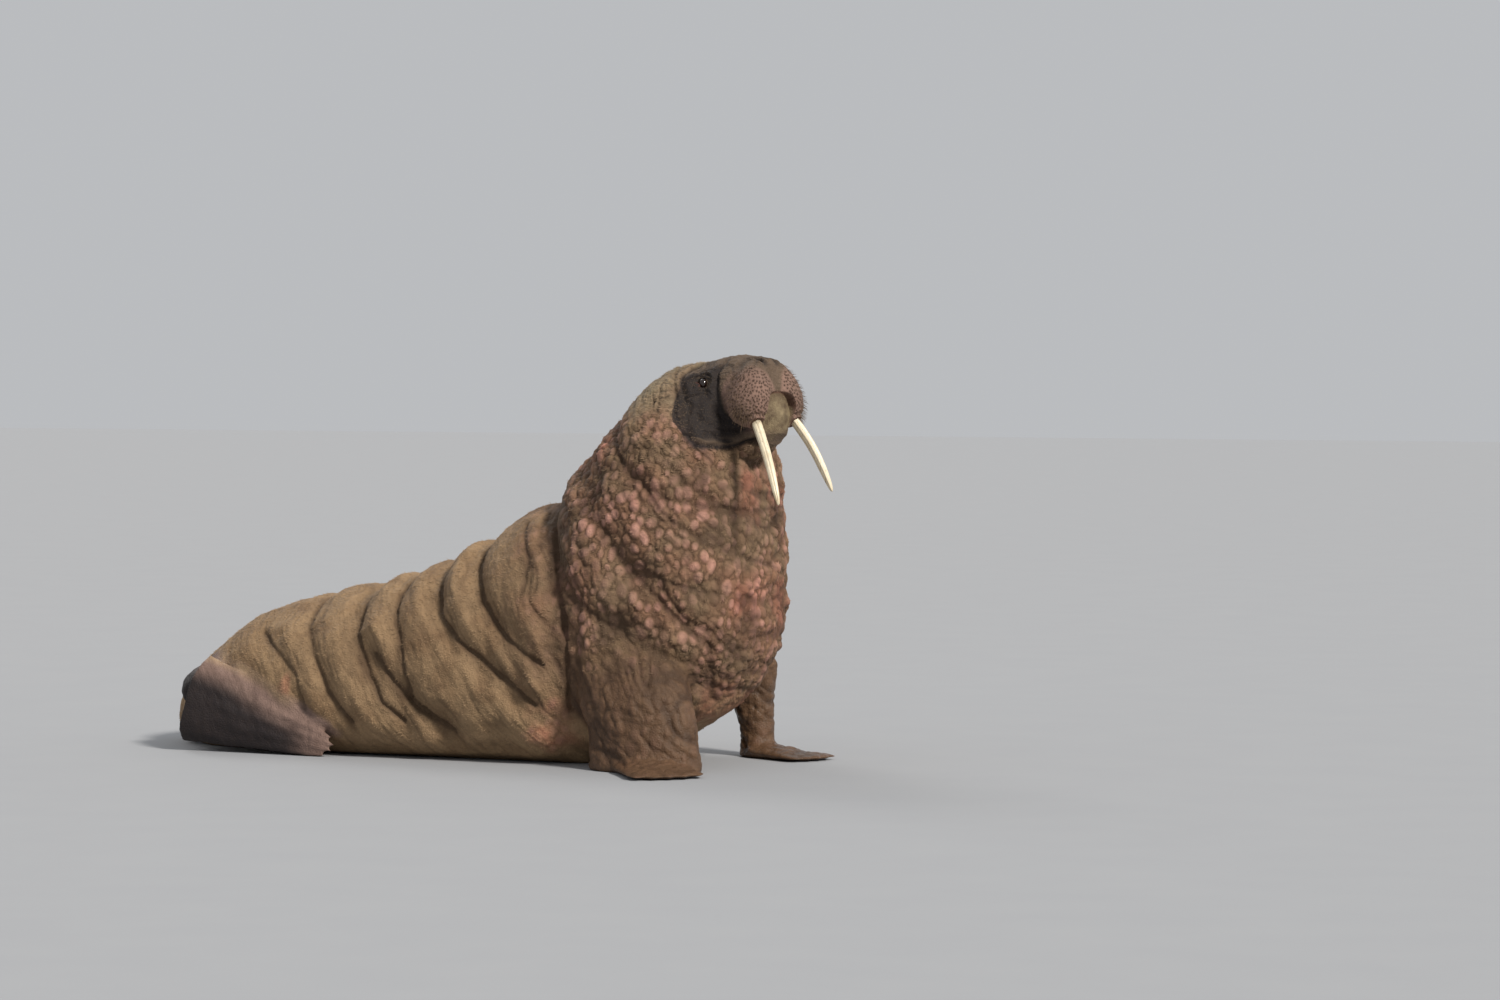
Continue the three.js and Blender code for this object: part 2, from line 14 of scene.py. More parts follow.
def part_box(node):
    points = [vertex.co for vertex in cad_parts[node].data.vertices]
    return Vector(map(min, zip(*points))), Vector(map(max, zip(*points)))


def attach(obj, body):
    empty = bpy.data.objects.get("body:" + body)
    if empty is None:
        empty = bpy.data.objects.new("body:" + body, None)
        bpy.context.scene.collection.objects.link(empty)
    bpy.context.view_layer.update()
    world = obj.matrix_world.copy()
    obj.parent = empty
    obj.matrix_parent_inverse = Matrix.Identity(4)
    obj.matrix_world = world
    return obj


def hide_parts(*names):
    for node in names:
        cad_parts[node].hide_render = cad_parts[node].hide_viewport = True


# Sizes in metres, in the model's own frame, whose origin is on the floor under the chest

HEAD_AT = (0.270, -0.030, 1.420)
HEAD_TURN = math.radians(-17)
HEAD_RAISE = math.radians(22)
EYE_AT = (0.014, 0.133, 0.014)
EYE_RADIUS = 0.019
NOSTRIL_AT = (0.226, 0.030, 0.030)
PAD_AT = (0.166, 0.078, -0.106)
PAD_RADII = (0.096, 0.080, 0.118)
PAD_LEAN = math.radians(20)
TUSK_ROOT = (0.156, 0.078, -0.106)
TUSK_TIP = (0.236, 0.164, -0.556)
TUSK_SHARE = {"left": 0.89, "right": 1.0}
TUSK_RADIUS = 0.021
TUSK_BOW = 0.022
EAR_AT = (-0.108, -0.004)

LID_REACH = 0.040
PIT_RADIUS = 0.0036

# The arch of the upper lips between the tusks: its top, half width and height, and the lower lip in it as
# (up, forward) points of the middle plane
LIP_ARCH = {"top": -0.108, "half": 0.080, "deep": 0.080, "bend": 6.0}
LOWER_LIP = [
    (-0.30, 0.12), (-0.287, 0.14), (-0.257, 0.194), (-0.197, 0.231), (-0.16, 0.240), (-0.13, 0.242),
    (-0.10, 0.236),
]

# The fold behind the head and the crease behind the pads, as (up, forward) points in the head's frame
HEAD_FOLD = [
    (-0.30, 0.024), (-0.25, -0.002), (-0.18, -0.008), (-0.07, 0.002), (0.0, -0.016), (0.03, -0.026),
    (0.07, -0.038), (0.12, -0.028),
]
PAD_CREASE = [
    (-0.225, 0.135), (-0.173, 0.085), (-0.119, 0.062), (-0.027, 0.066), (0.04, 0.078), (0.075, 0.095),
]

# The fold across the cheek, given in the same way
CHEEK_FOLD = [(-0.230, 0.043), (-0.173, 0.028), (-0.124, 0.020), (-0.080, 0.016)]

# The upper front corner of a pad, which stands out squarely
PAD_CORNER = (0.222, 0.088, -0.020)

# The height of each of the head's small forms, below zero where it goes in
RELIEF = {
    "lid_roll": 0.0030, "lid_groove": -0.0035, "outer_groove": -0.003, "brow": 0.010, "ray": -0.0020,
    "pad_corner": 0.017, "pad_crease": -0.011, "pad_roll": 0.004, "second_crease": -0.005,
    "whisker_pit": -0.0020, "gum_roll": 0.005, "gum_groove": -0.004, "lip_groove": -0.006,
    "nostril": -0.012, "nostril_rim": 0.005, "ear_rim": 0.003,
    "forehead": -0.0030, "cheek": -0.0065, "chin": -0.004, "net": -0.0014, "lumps": 0.003, "pebbles": 0.0016,
    "head_fold": -0.014, "jowl_roll": 0.006, "cheek_fold": -0.007, "cheek_roll": 0.004,
}
HEAD_FIELDS = ("rise", "pit", "rim", "pad", "dark", "lip", "shade", "ridge")

# Raw, reddened places of the hide: middle (x, y, z) and radius, on both sides
RAW_SPOTS = [
    ((-0.23, 0.44, 0.12), 0.17),
    ((0.24, 0.05, 0.24), 0.16),
    ((-0.10, 0.22, 1.12), 0.14),
    ((0.41, 0.10, 1.02), 0.12),
    ((0.38, 0.12, 0.62), 0.17),
    ((-1.44, 0.45, 0.25), 0.06),
]

# The deep folds of the body, seen from the side as (x, z) points, with the depth of their sharp crease
FOLDS = [
    (0.016, [(-1.235, 0.70), (-1.18, 0.56), (-1.12, 0.44), (-1.062, 0.33), (-0.99, 0.215), (-0.90, 0.15)]),
    (0.018, [(-1.04, 0.40), (-0.985, 0.34), (-0.92, 0.275), (-0.82, 0.20), (-0.70, 0.115)]),
    (0.011, [(-1.075, 0.76), (-1.0, 0.60), (-0.925, 0.45), (-0.895, 0.34), (-0.87, 0.24)]),
    (0.017, [(-0.90, 0.84), (-0.83, 0.66), (-0.765, 0.55), (-0.66, 0.46), (-0.52, 0.375), (-0.33, 0.23)]),
    (0.016, [(-0.735, 0.90), (-0.67, 0.74), (-0.595, 0.62), (-0.49, 0.515), (-0.37, 0.425), (-0.29, 0.385)]),
    (0.020, [(-0.50, 1.08), (-0.36, 0.96), (-0.27, 0.78), (-0.222, 0.60), (-0.196, 0.41), (-0.20, 0.21)]),
    (0.010, [(-1.45, 0.62), (-1.39, 0.47), (-1.305, 0.355), (-1.235, 0.25), (-1.14, 0.14)]),
    (0.010, [(-1.63, 0.46), (-1.48, 0.375), (-1.395, 0.30), (-1.358, 0.18)]),
    (0.009, [(-0.47, 0.90), (-0.40, 0.78), (-0.38, 0.66)]),
    (0.008, [(0.06, 0.76), (0.19, 0.64), (0.28, 0.53), (0.325, 0.47), (0.31, 0.37), (0.275, 0.25)]),
    (0.006, [(-0.04, 0.90), (0.08, 0.78), (0.23, 0.70), (0.40, 0.65)]),
    (0.006, [(-0.15, 0.64), (-0.04, 0.56), (0.09, 0.50), (0.19, 0.42)]),
    (0.006, [(-0.13, 1.33), (-0.04, 1.20), (0.06, 1.09), (0.21, 1.01), (0.42, 0.96)]),
]

VOXEL = 0.0055
FLESH = [
    "rump", "abdomen", "torso", "chest", "neck", "head", "lower_jaw", "tail",
    "fore_flipper_left", "fore_flipper_right", "hind_flipper_left", "hind_flipper_right",
]
PADS = ["muzzle_pad_left", "muzzle_pad_right"]
COAT = {"share": 0.09, "pieces": 2, "length": (0.008, 0.015), "width": (0.0010, 0.0018)}
CELLS_AROUND = list(itertools.product((-1, 0, 1), repeat=3))
KNOBS = {"apart": 0.033, "flatten": 0.80, "radius": (0.012, 0.027), "height": 0.010, "groove": 0.0035}

CAMERA = {
    "distance": 17.0, "azimuth": math.radians(28), "height": 1.557, "lens": 107.3,
    "aim_right": 0.3156, "aim_height": 0.994,
}

# Each light's place to the right, towards the camera and up, its spread in degrees, power and tint
LIGHTS = {
    "key": ((0.50, 0.62, 0.62), 9, 3.7, (1.0, 0.95, 0.88)),
    "rim": ((-0.4, -0.8, 0.7), 25, 0.6, (1.0, 0.98, 0.95)),
}
WORLD_COLOUR = (0.88, 0.90, 0.93, 1)
WORLD_STRENGTH = 0.56

# The hide's tones, darker and lighter, as screen values from 0 to 255
TONES = {
    "back": ((134, 108, 80), (168, 140, 106)),
    "throat": ((106, 86, 66), (144, 118, 90)),
    "flesh": ((190, 138, 122), (206, 166, 148)),
    "nape": ((128, 112, 88), (158, 142, 114)),
    "fore": ((78, 56, 42), (112, 84, 62)),
    "hind": ((112, 90, 82), (154, 128, 116)),
    "head": ((84, 70, 58), (116, 98, 82)),
    "pad": ((112, 93, 82), (152, 120, 106)),
    "lip": ((96, 80, 62), (142, 126, 98)),
}
BLOTCH, BLUSH, SORE, GRIME = (106, 78, 54), (166, 98, 78), (182, 108, 90), (54, 42, 32)

# What lies over the tones, stains with painted light and shade: mask, how strongly it covers, and colour
STAINS_PAINTED_LIGHT_AND_SHADE = [
    # The pale ridge and the hind flippers' tops, where it is light tan skin and partly painted light
    ("pale", 0.85, (178, 150, 114)),
    # Painted shade under the arch of the lips
    ("shade", 0.6, (74, 58, 44)),
    # Painted shade in the body's folds, beside the deep ones, along the wrinkles and in the grooves between
    # knobs
    ("crease", 0.72, (56, 40, 30)),
    # Painted shade in the head's sockets, nostrils and folds and under the hind flippers, with some dark hide
    # on cheek and jowl
    ("dark", 0.94, (25, 24, 28)),
    # Painted shade in the whisker pits and the ear holes
    ("pit", 1.0, (40, 28, 24)),
    # Reddened skin round the eyes and tusks, and a thin line of painted shade at the arch of the lips
    ("rim", 0.8, (84, 50, 42)),
]

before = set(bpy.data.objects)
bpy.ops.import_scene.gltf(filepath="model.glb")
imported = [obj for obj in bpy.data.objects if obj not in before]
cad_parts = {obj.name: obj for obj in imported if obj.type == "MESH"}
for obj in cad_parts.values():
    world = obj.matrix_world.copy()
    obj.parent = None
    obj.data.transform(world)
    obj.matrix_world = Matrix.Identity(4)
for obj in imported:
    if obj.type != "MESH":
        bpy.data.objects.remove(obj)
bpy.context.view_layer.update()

head_frame = (
    Matrix.Translation(HEAD_AT)
    @ Matrix.Rotation(HEAD_TURN, 4, "Z")
    @ Matrix.Rotation(-HEAD_RAISE, 4, "Y")
)
eye_low, eye_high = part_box("eye_left")
SHIFT = (eye_low + eye_high) / 2 - head_frame @ Vector(EYE_AT)
head_to_row = Matrix.Translation(SHIFT) @ head_frame


# Fields over points


def step(low, high, value):
    """0 below low, 1 above high, smooth between."""
    t = np.clip((value - low) / (high - low), 0, 1)
    return t * t * (3 - 2 * t)


def bump(value, width):
    """1 where value is 0, fading over width."""
    return np.exp(-((value / width) ** 2))


def lattice(cells, seed):
    """A repeatable number from 0 to 1 for each whole-numbered cell."""
    mixed = cells[..., 0] * 73856093 ^ cells[..., 1] * 19349663 ^ cells[..., 2] * 83492791
    mixed = (mixed ^ seed * 2654435761) & 0xFFFFFFFF
    mixed = (mixed ^ (mixed >> 15)) * 2246822519 & 0xFFFFFFFF
    mixed = (mixed ^ (mixed >> 13)) * 3266489917 & 0xFFFFFFFF
    return ((mixed ^ (mixed >> 16)) & 0xFFFFFF) / 0xFFFFFF


def noise(points, size, seed):
    """Smooth noise from -1 to 1, with lumps about size across."""
    scaled = points / np.asarray(size)
    cell = np.floor(scaled).astype(np.int64)
    part = scaled - cell
    part = part * part * (3 - 2 * part)
    total = 0
    for corner in itertools.product((0, 1), repeat=3):
        weight = np.prod(np.where(corner, part, 1 - part), axis=-1)
        total = total + weight * lattice(cell + np.array(corner), seed)
    return 2 * total - 1


def line_distance(points, line):
    """Distance of 2-D points from a line through several corners."""
    nearest = np.full(len(points), 9.0)
    for start, end in zip(line[:-1], line[1:]):
        start, along = np.array(start), np.subtract(end, start)
        t = np.clip((points - start) @ along / (along @ along), 0, 1)
        nearest = np.minimum(nearest, np.linalg.norm(points - start - t[:, None] * along, axis=1))
    return nearest


def folded(points):
    """The points with both sides laid on the left one."""
    return points * [1, 0, 1] + np.abs(points) * [0, 1, 0]


def into(matrix, points):
    """Points of the row's frame in another frame."""
    inverse = np.array(matrix.inverted())
    return points @ inverse[:3, :3].T + inverse[:3, 3]


# Meshes


def mesh_object(name, verts, faces, material=None):
    mesh = bpy.data.meshes.new(name)
    mesh.from_pydata([tuple(v) for v in verts], [], [tuple(f) for f in faces])
    mesh.update()
    piece = bpy.data.objects.new(name, mesh)
    bpy.context.collection.objects.link(piece)
    if material:
        mesh.materials.append(material)
    return piece


def positions(mesh):
    values = np.empty(len(mesh.vertices) * 3, np.float32)
    mesh.vertices.foreach_get("co", values)
    return values.reshape(-1, 3).astype(float)


def normals(mesh):
    values = np.empty(len(mesh.vertices) * 3, np.float32)
    mesh.vertex_normals.foreach_get("vector", values)
    return values.reshape(-1, 3).astype(float)


def set_positions(mesh, points):
    mesh.vertices.foreach_set("co", points.astype(np.float32).ravel())
    mesh.update()


def smooth_shading(mesh):
    mesh.polygons.foreach_set("use_smooth", [True] * len(mesh.polygons))


def applied(piece):
    """Makes a piece's modifiers part of its mesh."""
    depsgraph = bpy.context.evaluated_depsgraph_get()
    mesh = bpy.data.meshes.new_from_object(piece.evaluated_get(depsgraph))
    old = piece.data
    piece.modifiers.clear()
    piece.data = mesh
    bpy.data.meshes.remove(old)
    return piece


def attribute(mesh, name, values):
    mesh.attributes.new(name, "FLOAT", "POINT").data.foreach_set("value", values.astype(np.float32))


def loft(rings):
    """Points and faces of a skin over rings of points, closed at both ends."""
    sides = len(rings[0])
    verts = [p for ring in rings for p in ring]
    faces = []
    for r in range(len(rings) - 1):
        for k in range(sides):
            j = (k + 1) % sides
            faces.append((r * sides + k, r * sides + j, (r + 1) * sides + j, (r + 1) * sides + k))
    faces.append(tuple(range(sides))[::-1])
    faces.append(tuple((len(rings) - 1) * sides + k for k in range(sides)))
    return verts, faces


def ball(centre, radii, lean, segments=48):
    """Points and faces of a leaning ellipsoid."""
    turn = Matrix.Translation(centre) @ Matrix.Rotation(lean, 4, "X")
    rings = []
    for i in range(1, segments // 2):
        polar = math.pi * i / (segments // 2)
        ring = []
        for k in range(segments):
            angle = 2 * math.pi * k / segments
            level = math.sin(polar)
            round_at = (level * math.cos(angle), level * math.sin(angle), -math.cos(polar))
            ring.append(turn @ Vector([radius * value for radius, value in zip(radii, round_at)]))
        rings.append(ring)
    return loft(rings)


def mirrored(point):
    return Vector((point[0], -point[1], point[2]))


# The skin: one closed surface over every node of flesh


def flesh_blank():
    verts, faces = [], []

    def add(points, polygons):
        start = len(verts)
        verts.extend(points)
        faces.extend([start + k for k in polygon] for polygon in polygons)

    for name in FLESH:
        mesh = bpy.data.objects[name].data
        add([v.co.copy() for v in mesh.vertices], [list(p.vertices) for p in mesh.polygons])
    points, polygons = ball(PAD_AT, PAD_RADII, PAD_LEAN)
    add([head_to_row @ p for p in points], polygons)
    add([head_to_row @ mirrored(p) for p in points], [polygon[::-1] for polygon in polygons])
    blank = mesh_object("skin", verts, faces)
    remesh = blank.modifiers.new("Remesh", "REMESH")
    remesh.mode = "VOXEL"
    remesh.voxel_size = VOXEL
    return applied(blank)


def head_region(points):
    """Points in the head's frame, how far each is inside the fold round the head, and how much is head."""
    local = into(head_to_row, points)
    up, forward = zip(*HEAD_FOLD)
    ahead = local[:, 0] - np.interp(local[:, 2], up, forward)
    chin = bump(local[:, 1], 0.055) * step(0.04, 0.12, local[:, 0])
    jaw = -0.272 + 0.018 * step(0.0, 0.09, local[:, 0]) - 0.045 * chin
    above = local[:, 2] - jaw
    inside = np.minimum(ahead, above) - 0.030 * np.exp(-np.abs(ahead - above) / 0.045)
    head = step(-0.010, 0.014, inside)
    return local, inside, head * step(0.85, 0.70, np.linalg.norm(local, axis=1))


def soften(piece):
    """Rounds off the facets, less on the head and far more along the nape."""
    points = positions(piece.data)
    _, _, head = head_region(points)
    height = points[:, 2] - SHIFT[2]
    nape = (1 - head) * step(1.27, 1.33, height)
    for name, weights, repeat in (("broad", 1 - head, 45), ("fine", head, 22), ("nape", nape, 160)):
        group = piece.vertex_groups.new(name=name)
        levels = np.round(weights * 8).astype(int)
        for level in range(1, 9):
            group.add(np.nonzero(levels == level)[0].tolist(), level / 8, "REPLACE")
        smooth = piece.modifiers.new(name, "SMOOTH")
        smooth.factor = 0.5
        smooth.iterations = repeat
        smooth.vertex_group = name
    applied(piece)
    piece.vertex_groups.clear()


def refine(piece, chosen):
    """Splits the chosen part's faces, so that it can hold finer forms."""
    mesh = piece.data
    wanted = chosen(into(head_to_row, positions(mesh)))
    grid = bmesh.new()
    grid.from_mesh(mesh)
    grid.verts.ensure_lookup_table()
    edges = [e for e in grid.edges if wanted[e.verts[0].index] and wanted[e.verts[1].index]]
    bmesh.ops.subdivide_edges(grid, edges=edges, cuts=1, use_grid_fill=True, smooth=0.6)
    grid.to_mesh(mesh)
    grid.free()


def on_head(local):
    return (local[:, 0] > -0.17) & (local[:, 2] > -0.33) & (np.linalg.norm(local, axis=1) < 0.5)


def on_pads_or_eyes(local):
    pads = np.linalg.norm((folded(local) - PAD_AT) / PAD_RADII, axis=1) < 1.12
    return (pads & (local[:, 2] < 0)) | (np.linalg.norm(folded(local) - EYE_AT, axis=1) < 0.05)


def nearness(points, name, reach=0.1):
    """How close each point is to a node's own surface: 1 on it, 0 a few centimetres away."""
    low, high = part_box(name)
    inside = np.all((points > np.array(low) - reach) & (points < np.array(high) + reach), axis=1)
    mesh = bpy.data.objects[name].data
    tree = BVHTree.FromPolygons([v.co for v in mesh.vertices], [list(p.vertices) for p in mesh.polygons])
    away = np.full(len(points), 9.0)
    for k in np.nonzero(inside)[0]:
        away[k] = tree.find_nearest(points[k])[3]
    return step(0.045, 0.012, away)


def fold_lines(model):
    """The depth of the sharp creases of the deep folds at each point, in metres, and their soft shade."""
    sway = np.where(model[:, 1] > 0, 0.034 * np.sin(model[:, 2] / 0.16), 0)
    wander = 0.009 * noise(model, 0.17, 3) + 0.003 * noise(model, 0.04, 4)
    flat = np.stack([model[:, 0] + sway + wander, model[:, 2]], axis=1)
    total = np.zeros(len(model))
    dusk = np.zeros(len(model))
    for depth, line in FOLDS:
        away = line_distance(flat, line)
        dusk = np.maximum(dusk, depth / 0.020 * bump(away, 0.012 + 2.2 * max(depth - 0.004, 0)))
        total += depth * bump(away, 0.009) * (0.8 + 0.4 * noise(model, 0.2, 5))
    low = step(0.02, 0.09, model[:, 2])
    return total * low, dusk * low


def wrinkles(model):
    """Wandering creases across the body's length: wide, small, a net, and hair lines."""
    warp = np.stack([noise(model, 0.16, 11), noise(model, 0.16, 12), noise(model, 0.16, 13)], axis=1)
    warped = model + 0.035 * warp
    lean = math.radians(35)
    across = warped[:, 0] * math.cos(lean) + warped[:, 2] * math.sin(lean)
    along = -warped[:, 0] * math.sin(lean) + warped[:, 2] * math.cos(lean)
    drawn = np.stack([across, along, warped[:, 1]], axis=1)
    wide = bump(noise(drawn, (0.075, 0.34, 0.34), 21), 0.16)
    small = bump(noise(drawn, (0.030, 0.11, 0.11), 22), 0.2)
    net = bump(noise(warped, 0.036, 23), 0.22)
    hair = bump(noise(drawn, (0.019, 0.26, 0.26), 24), 0.15)
    return wide, small, net, hair


def knob_seeds(points, weights):
    """Seeded middles for the knobs of thick hide, kept apart."""
    draw = random.Random(31)
    chosen = np.nonzero(weights > 0.02)[0].tolist()
    draw.shuffle(chosen)
    cell = KNOBS["apart"]
    taken = {}
    for k in chosen:
        key = tuple(np.floor(points[k] / cell).astype(int))
        x, y, z = key
        near = (taken.get((x + a, y + b, z + c)) for a, b, c in CELLS_AROUND)
        if all(other is None or np.linalg.norm(points[k] - other) > cell for other in near):
            taken[key] = points[k]
    return list(taken.values())


def knobs(model, weights):
    """Cobbles of thick hide: how high each point stands, its groove, and how raw its cobble is."""
    warp = np.stack([noise(model, 0.07, 61), noise(model, 0.07, 62), noise(model, 0.07, 63)], axis=1)
    spread = (model + 0.016 * warp) * [1, 1, KNOBS["flatten"]]
    seeds = knob_seeds(spread, weights)
    tree = kdtree.KDTree(len(seeds))
    for k, seed in enumerate(seeds):
        tree.insert(seed, k)
    tree.balance()
    draw = np.random.default_rng(5)
    radius = KNOBS["radius"][0] + (KNOBS["radius"][1] - KNOBS["radius"][0]) * draw.beta(1.6, 1.8, len(seeds))
    tall = draw.uniform(0.25, 1, len(seeds)) * radius / KNOBS["radius"][1]
    raw = draw.random(len(seeds)) ** 1.3
    height, groove, rawness = np.zeros(len(model)), np.zeros(len(model)), np.zeros(len(model))
    for k in np.nonzero(weights > 0.01)[0]:
        edges = []
        for _, index, away in tree.find_n(spread[k], 3):
            share = away / radius[index]
            edges.append(share)
            if share < 1:
                dome = (1 - share * share) ** 1.2
                height[k] = max(height[k], tall[index] * dome)
                rawness[k] = max(rawness[k], raw[index] * dome**0.7)
        groove[k] = math.exp(-(((min(edges) - 1.12) / 0.16) ** 2))
    return height * weights, groove * weights, rawness * weights


# The head's own forms, in the head's frame


def arch_height(side):
    """The height of the upper lips' edge this far from the middle plane."""
    share = np.minimum(np.abs(side) / LIP_ARCH["half"], 1) ** 2.5
    drop = LIP_ARCH["deep"] * (1 - np.sqrt(1 - share))
    return LIP_ARCH["top"] - drop - 4 * np.maximum(np.abs(side) - LIP_ARCH["half"], 0)


def whisker_roots():
    """Where the left pad's whiskers stand on its ellipsoid and which way they point, row by row."""
    draw = random.Random(9)
    turn = Matrix.Translation(PAD_AT) @ Matrix.Rotation(PAD_LEAN, 4, "X")
    radii = Vector(PAD_RADII)
    roots = []
    rows = 16
    for row in range(rows):
        tilt = math.radians(44 - 112 * row / (rows - 1))
        in_row = round(17 * math.cos(tilt * 0.8)) + 2
        for k in range(in_row):
            share = (k + 0.5 * (row % 2)) / in_row
            swing = math.radians(-24 + 138 * share + draw.uniform(-3.5, 3.5))
            lifted = tilt + math.radians(draw.uniform(-3, 3))
            level = math.cos(lifted)
            sphere = Vector((level * math.cos(swing), level * math.sin(swing), math.sin(lifted)))
            at = turn @ Vector([radius * value for radius, value in zip(radii, sphere)])
            out = turn.to_3x3() @ Vector([value / radius for radius, value in zip(radii, sphere)])
            if at.y > 0.010 and at.z > arch_height(at.y) - 0.01:
                roots.append((at, out.normalized(), row / (rows - 1), share))
    return roots


ROOTS = whisker_roots()


def tusk_axis(t, share=1.0):
    """A point of a tusk's middle line, from its root at 0 to its tip at 1."""
    bow = TUSK_BOW * math.sin(math.pi * t)
    root, tip = Vector(TUSK_ROOT), Vector(TUSK_TIP)
    return root.lerp(tip, t * share) + Vector((bow, 0.4 * bow, 0))


def lidded(points):
    """The skin drawn over the eyeballs as lids, how far that counts at each point, and the lids' edge."""
    from_eye = folded(points) - EYE_AT
    away = np.linalg.norm(from_eye, axis=1)
    near = (away < LID_REACH) & (from_eye[:, 1] > -0.006)
    lean = math.radians(-14)
    ahead = from_eye[:, 0] * math.cos(lean) - from_eye[:, 2] * math.sin(lean)
    above = from_eye[:, 0] * math.sin(lean) + from_eye[:, 2] * math.cos(lean)
    opening = 0.0075 * (1 - (ahead / 0.0160) ** 2) - np.abs(above + 0.001)
    lid = EYE_RADIUS + 0.0035 + 0.0015 * bump(opening + 0.003, 0.003)
    wanted = np.where(opening > 0, EYE_RADIUS - 0.004, np.maximum(away, lid))
    blend = step(LID_REACH, LID_REACH - 0.010, away) * near
    scale = 1 + blend * (wanted / np.maximum(away, 0.004) - 1)
    lids = EYE_AT + from_eye * scale[:, None]
    lids[:, 1] *= np.sign(points[:, 1])
    return lids, blend, near * bump(opening, 0.004) * (away < 0.034)


class HeadForms:
    """The head's own forms over its points, in the head's frame: height to add, and masks for the colours."""

    def __init__(self, points, inside):
        self.points, self.inside = points, inside
        self.x, self.z = points[:, 0], points[:, 2]
        self.side = np.abs(points[:, 1])
        self.flank = step(0.04, 0.08, self.side)
        self.low_side = step(0.02, 0.08, self.side)
        self.rise, self.dark, self.pit, self.rim = (np.zeros(len(points)) for _ in range(4))

    def noise(self, size, seed):
        return noise(self.points, size, seed)

    def add(self, name, share):
        self.rise += RELIEF[name] * share

    def darken(self, amount):
        self.dark = np.maximum(self.dark, amount)

    def around_eyes(self):
        """Rolls and grooves round the eye, rays behind it, and painted shade in the rays and in the socket.
        """
        away = np.hypot((self.x - EYE_AT[0]) / 1.2, (self.z - EYE_AT[2]) / 0.9)
        at_eye = step(0.05, 0.09, self.side)
        self.add("lid_roll", at_eye * bump(away - 0.041, 0.006))
        self.add("lid_groove", at_eye * bump(away - 0.033, 0.0035))
        self.add("outer_groove", at_eye * bump(away - 0.052, 0.004))
        self.add("brow", at_eye * step(0.0, 0.03, self.z) * bump(away - 0.045, 0.02))
        angle = np.arctan2(self.z - EYE_AT[2], self.x - EYE_AT[0])
        rays = at_eye * bump(np.sin(9 * angle + 3 * self.noise(0.05, 42)), 0.4)
        self.add("ray", rays * step(0.04, 0.055, away) * step(0.12, 0.07, away))
        # Painted shade in the grooves of the rays and in the socket round the eye.
        self.darken(0.6 * rays * bump(away - 0.07, 0.03))
        socket = at_eye * bump(np.maximum(away - 0.026, 0), 0.022)
        self.darken((0.85 + 0.2 * self.noise(0.02, 54)) * socket)

    def pads(self):
        """The pads' square upper corner and the deep crease behind them, with a cheek darkened by painted
        shade and dark hide.
        """
        ellipse = np.linalg.norm((folded(self.points) - PAD_AT) / PAD_RADII, axis=1)
        self.pad = step(1.20, 1.04, ellipse) * step(0.03, -0.05, self.z + 0.012 * self.noise(0.03, 56))
        from_corner = np.linalg.norm(folded(self.points) - PAD_CORNER, axis=1)
        self.add("pad_corner", bump(from_corner, 0.046))
        self.crease = self.x - np.interp(self.z, *zip(*PAD_CREASE)) + 0.006 * self.noise(0.05, 48)
        held = self.flank * step(-0.24, -0.20, self.z) * step(0.09, 0.05, self.z)
        self.add("pad_crease", held * bump(self.crease, 0.014))
        self.add("pad_roll", held * bump(self.crease + 0.024, 0.012))
        second = bump(self.crease + 0.044, 0.006) * step(0.04, -0.02, self.z)
        self.add("second_crease", held * second)
        # Painted shade, with some dark hide, in the broad crease behind the pad.
        self.darken(0.95 * held * (self.crease > -0.1) * bump(np.maximum(self.crease, 0), 0.022))

    def face(self):
        """Creases over forehead, cheek and chin, and the fine net between them."""
        high = step(-0.03, 0.03, self.z)
        across = bump(self.noise((0.030, 0.2, 0.08), 41), 0.25)
        self.add("forehead", across * step(-0.02, 0.05, self.x) * high)
        # Painted shade in the forehead's creases.
        self.darken(0.5 * across * (self.x > 0) * high)
        cheek = step(0.10, 0.02, self.x) * step(0.02, -0.05, self.z)
        self.add("cheek", cheek * bump(self.noise((0.045, 0.2, 0.14), 43), 0.22))
        chin = step(-0.20, -0.24, self.z)
        self.add("chin", chin * bump(self.noise((0.035, 0.12, 0.035), 47), 0.25))
        self.add("net", bump(self.noise(0.013, 44), 0.25) * (1 - 0.85 * self.pad))
        self.add("lumps", self.noise(0.06, 46))
        self.add("pebbles", self.noise(0.02, 45))

    def nose(self):
        """The groove of the upper lip, and the nostrils."""
        groove = bump(self.points[:, 1], 0.006) * step(0.20, 0.23, self.x) * step(0.0, -0.03, self.z)
        self.add("lip_groove", groove * step(-0.115, -0.10, self.z))
        nostril = np.hypot((self.x - NOSTRIL_AT[0]) / 1.5, (self.side - NOSTRIL_AT[1]) / 0.6)
        high = step(-0.02, 0.0, self.z)
        # Painted shade in the nostrils.
        self.darken(high * bump(nostril, 0.022))
        self.add("nostril", high * bump(nostril, 0.012))
        self.add("nostril_rim", high * bump(nostril - 0.026, 0.009))

    def ears(self):
        """A low rim round a hole darkened with painted shade; gives back how far the ear reaches."""
        away = np.hypot((self.x - EAR_AT[0]) / 0.8, (self.z - EAR_AT[1]) / 1.2)
        at_ear = step(0.09, 0.13, self.side)
        self.add("ear_rim", at_ear * bump(away - 0.014, 0.005))
        # Painted shade in the ear hole.
        self.pit = np.maximum(self.pit, at_ear * bump(away, 0.008))
        return at_ear * step(0.05, 0.03, away)

    def jowls(self):
        """The fold behind the head with a pale ridge, the fold across the cheek, and dark hide between;
        painted shade darkens both folds and deepens the dark hide.
        """
        self.add("head_fold", self.low_side * bump(self.inside, 0.009))
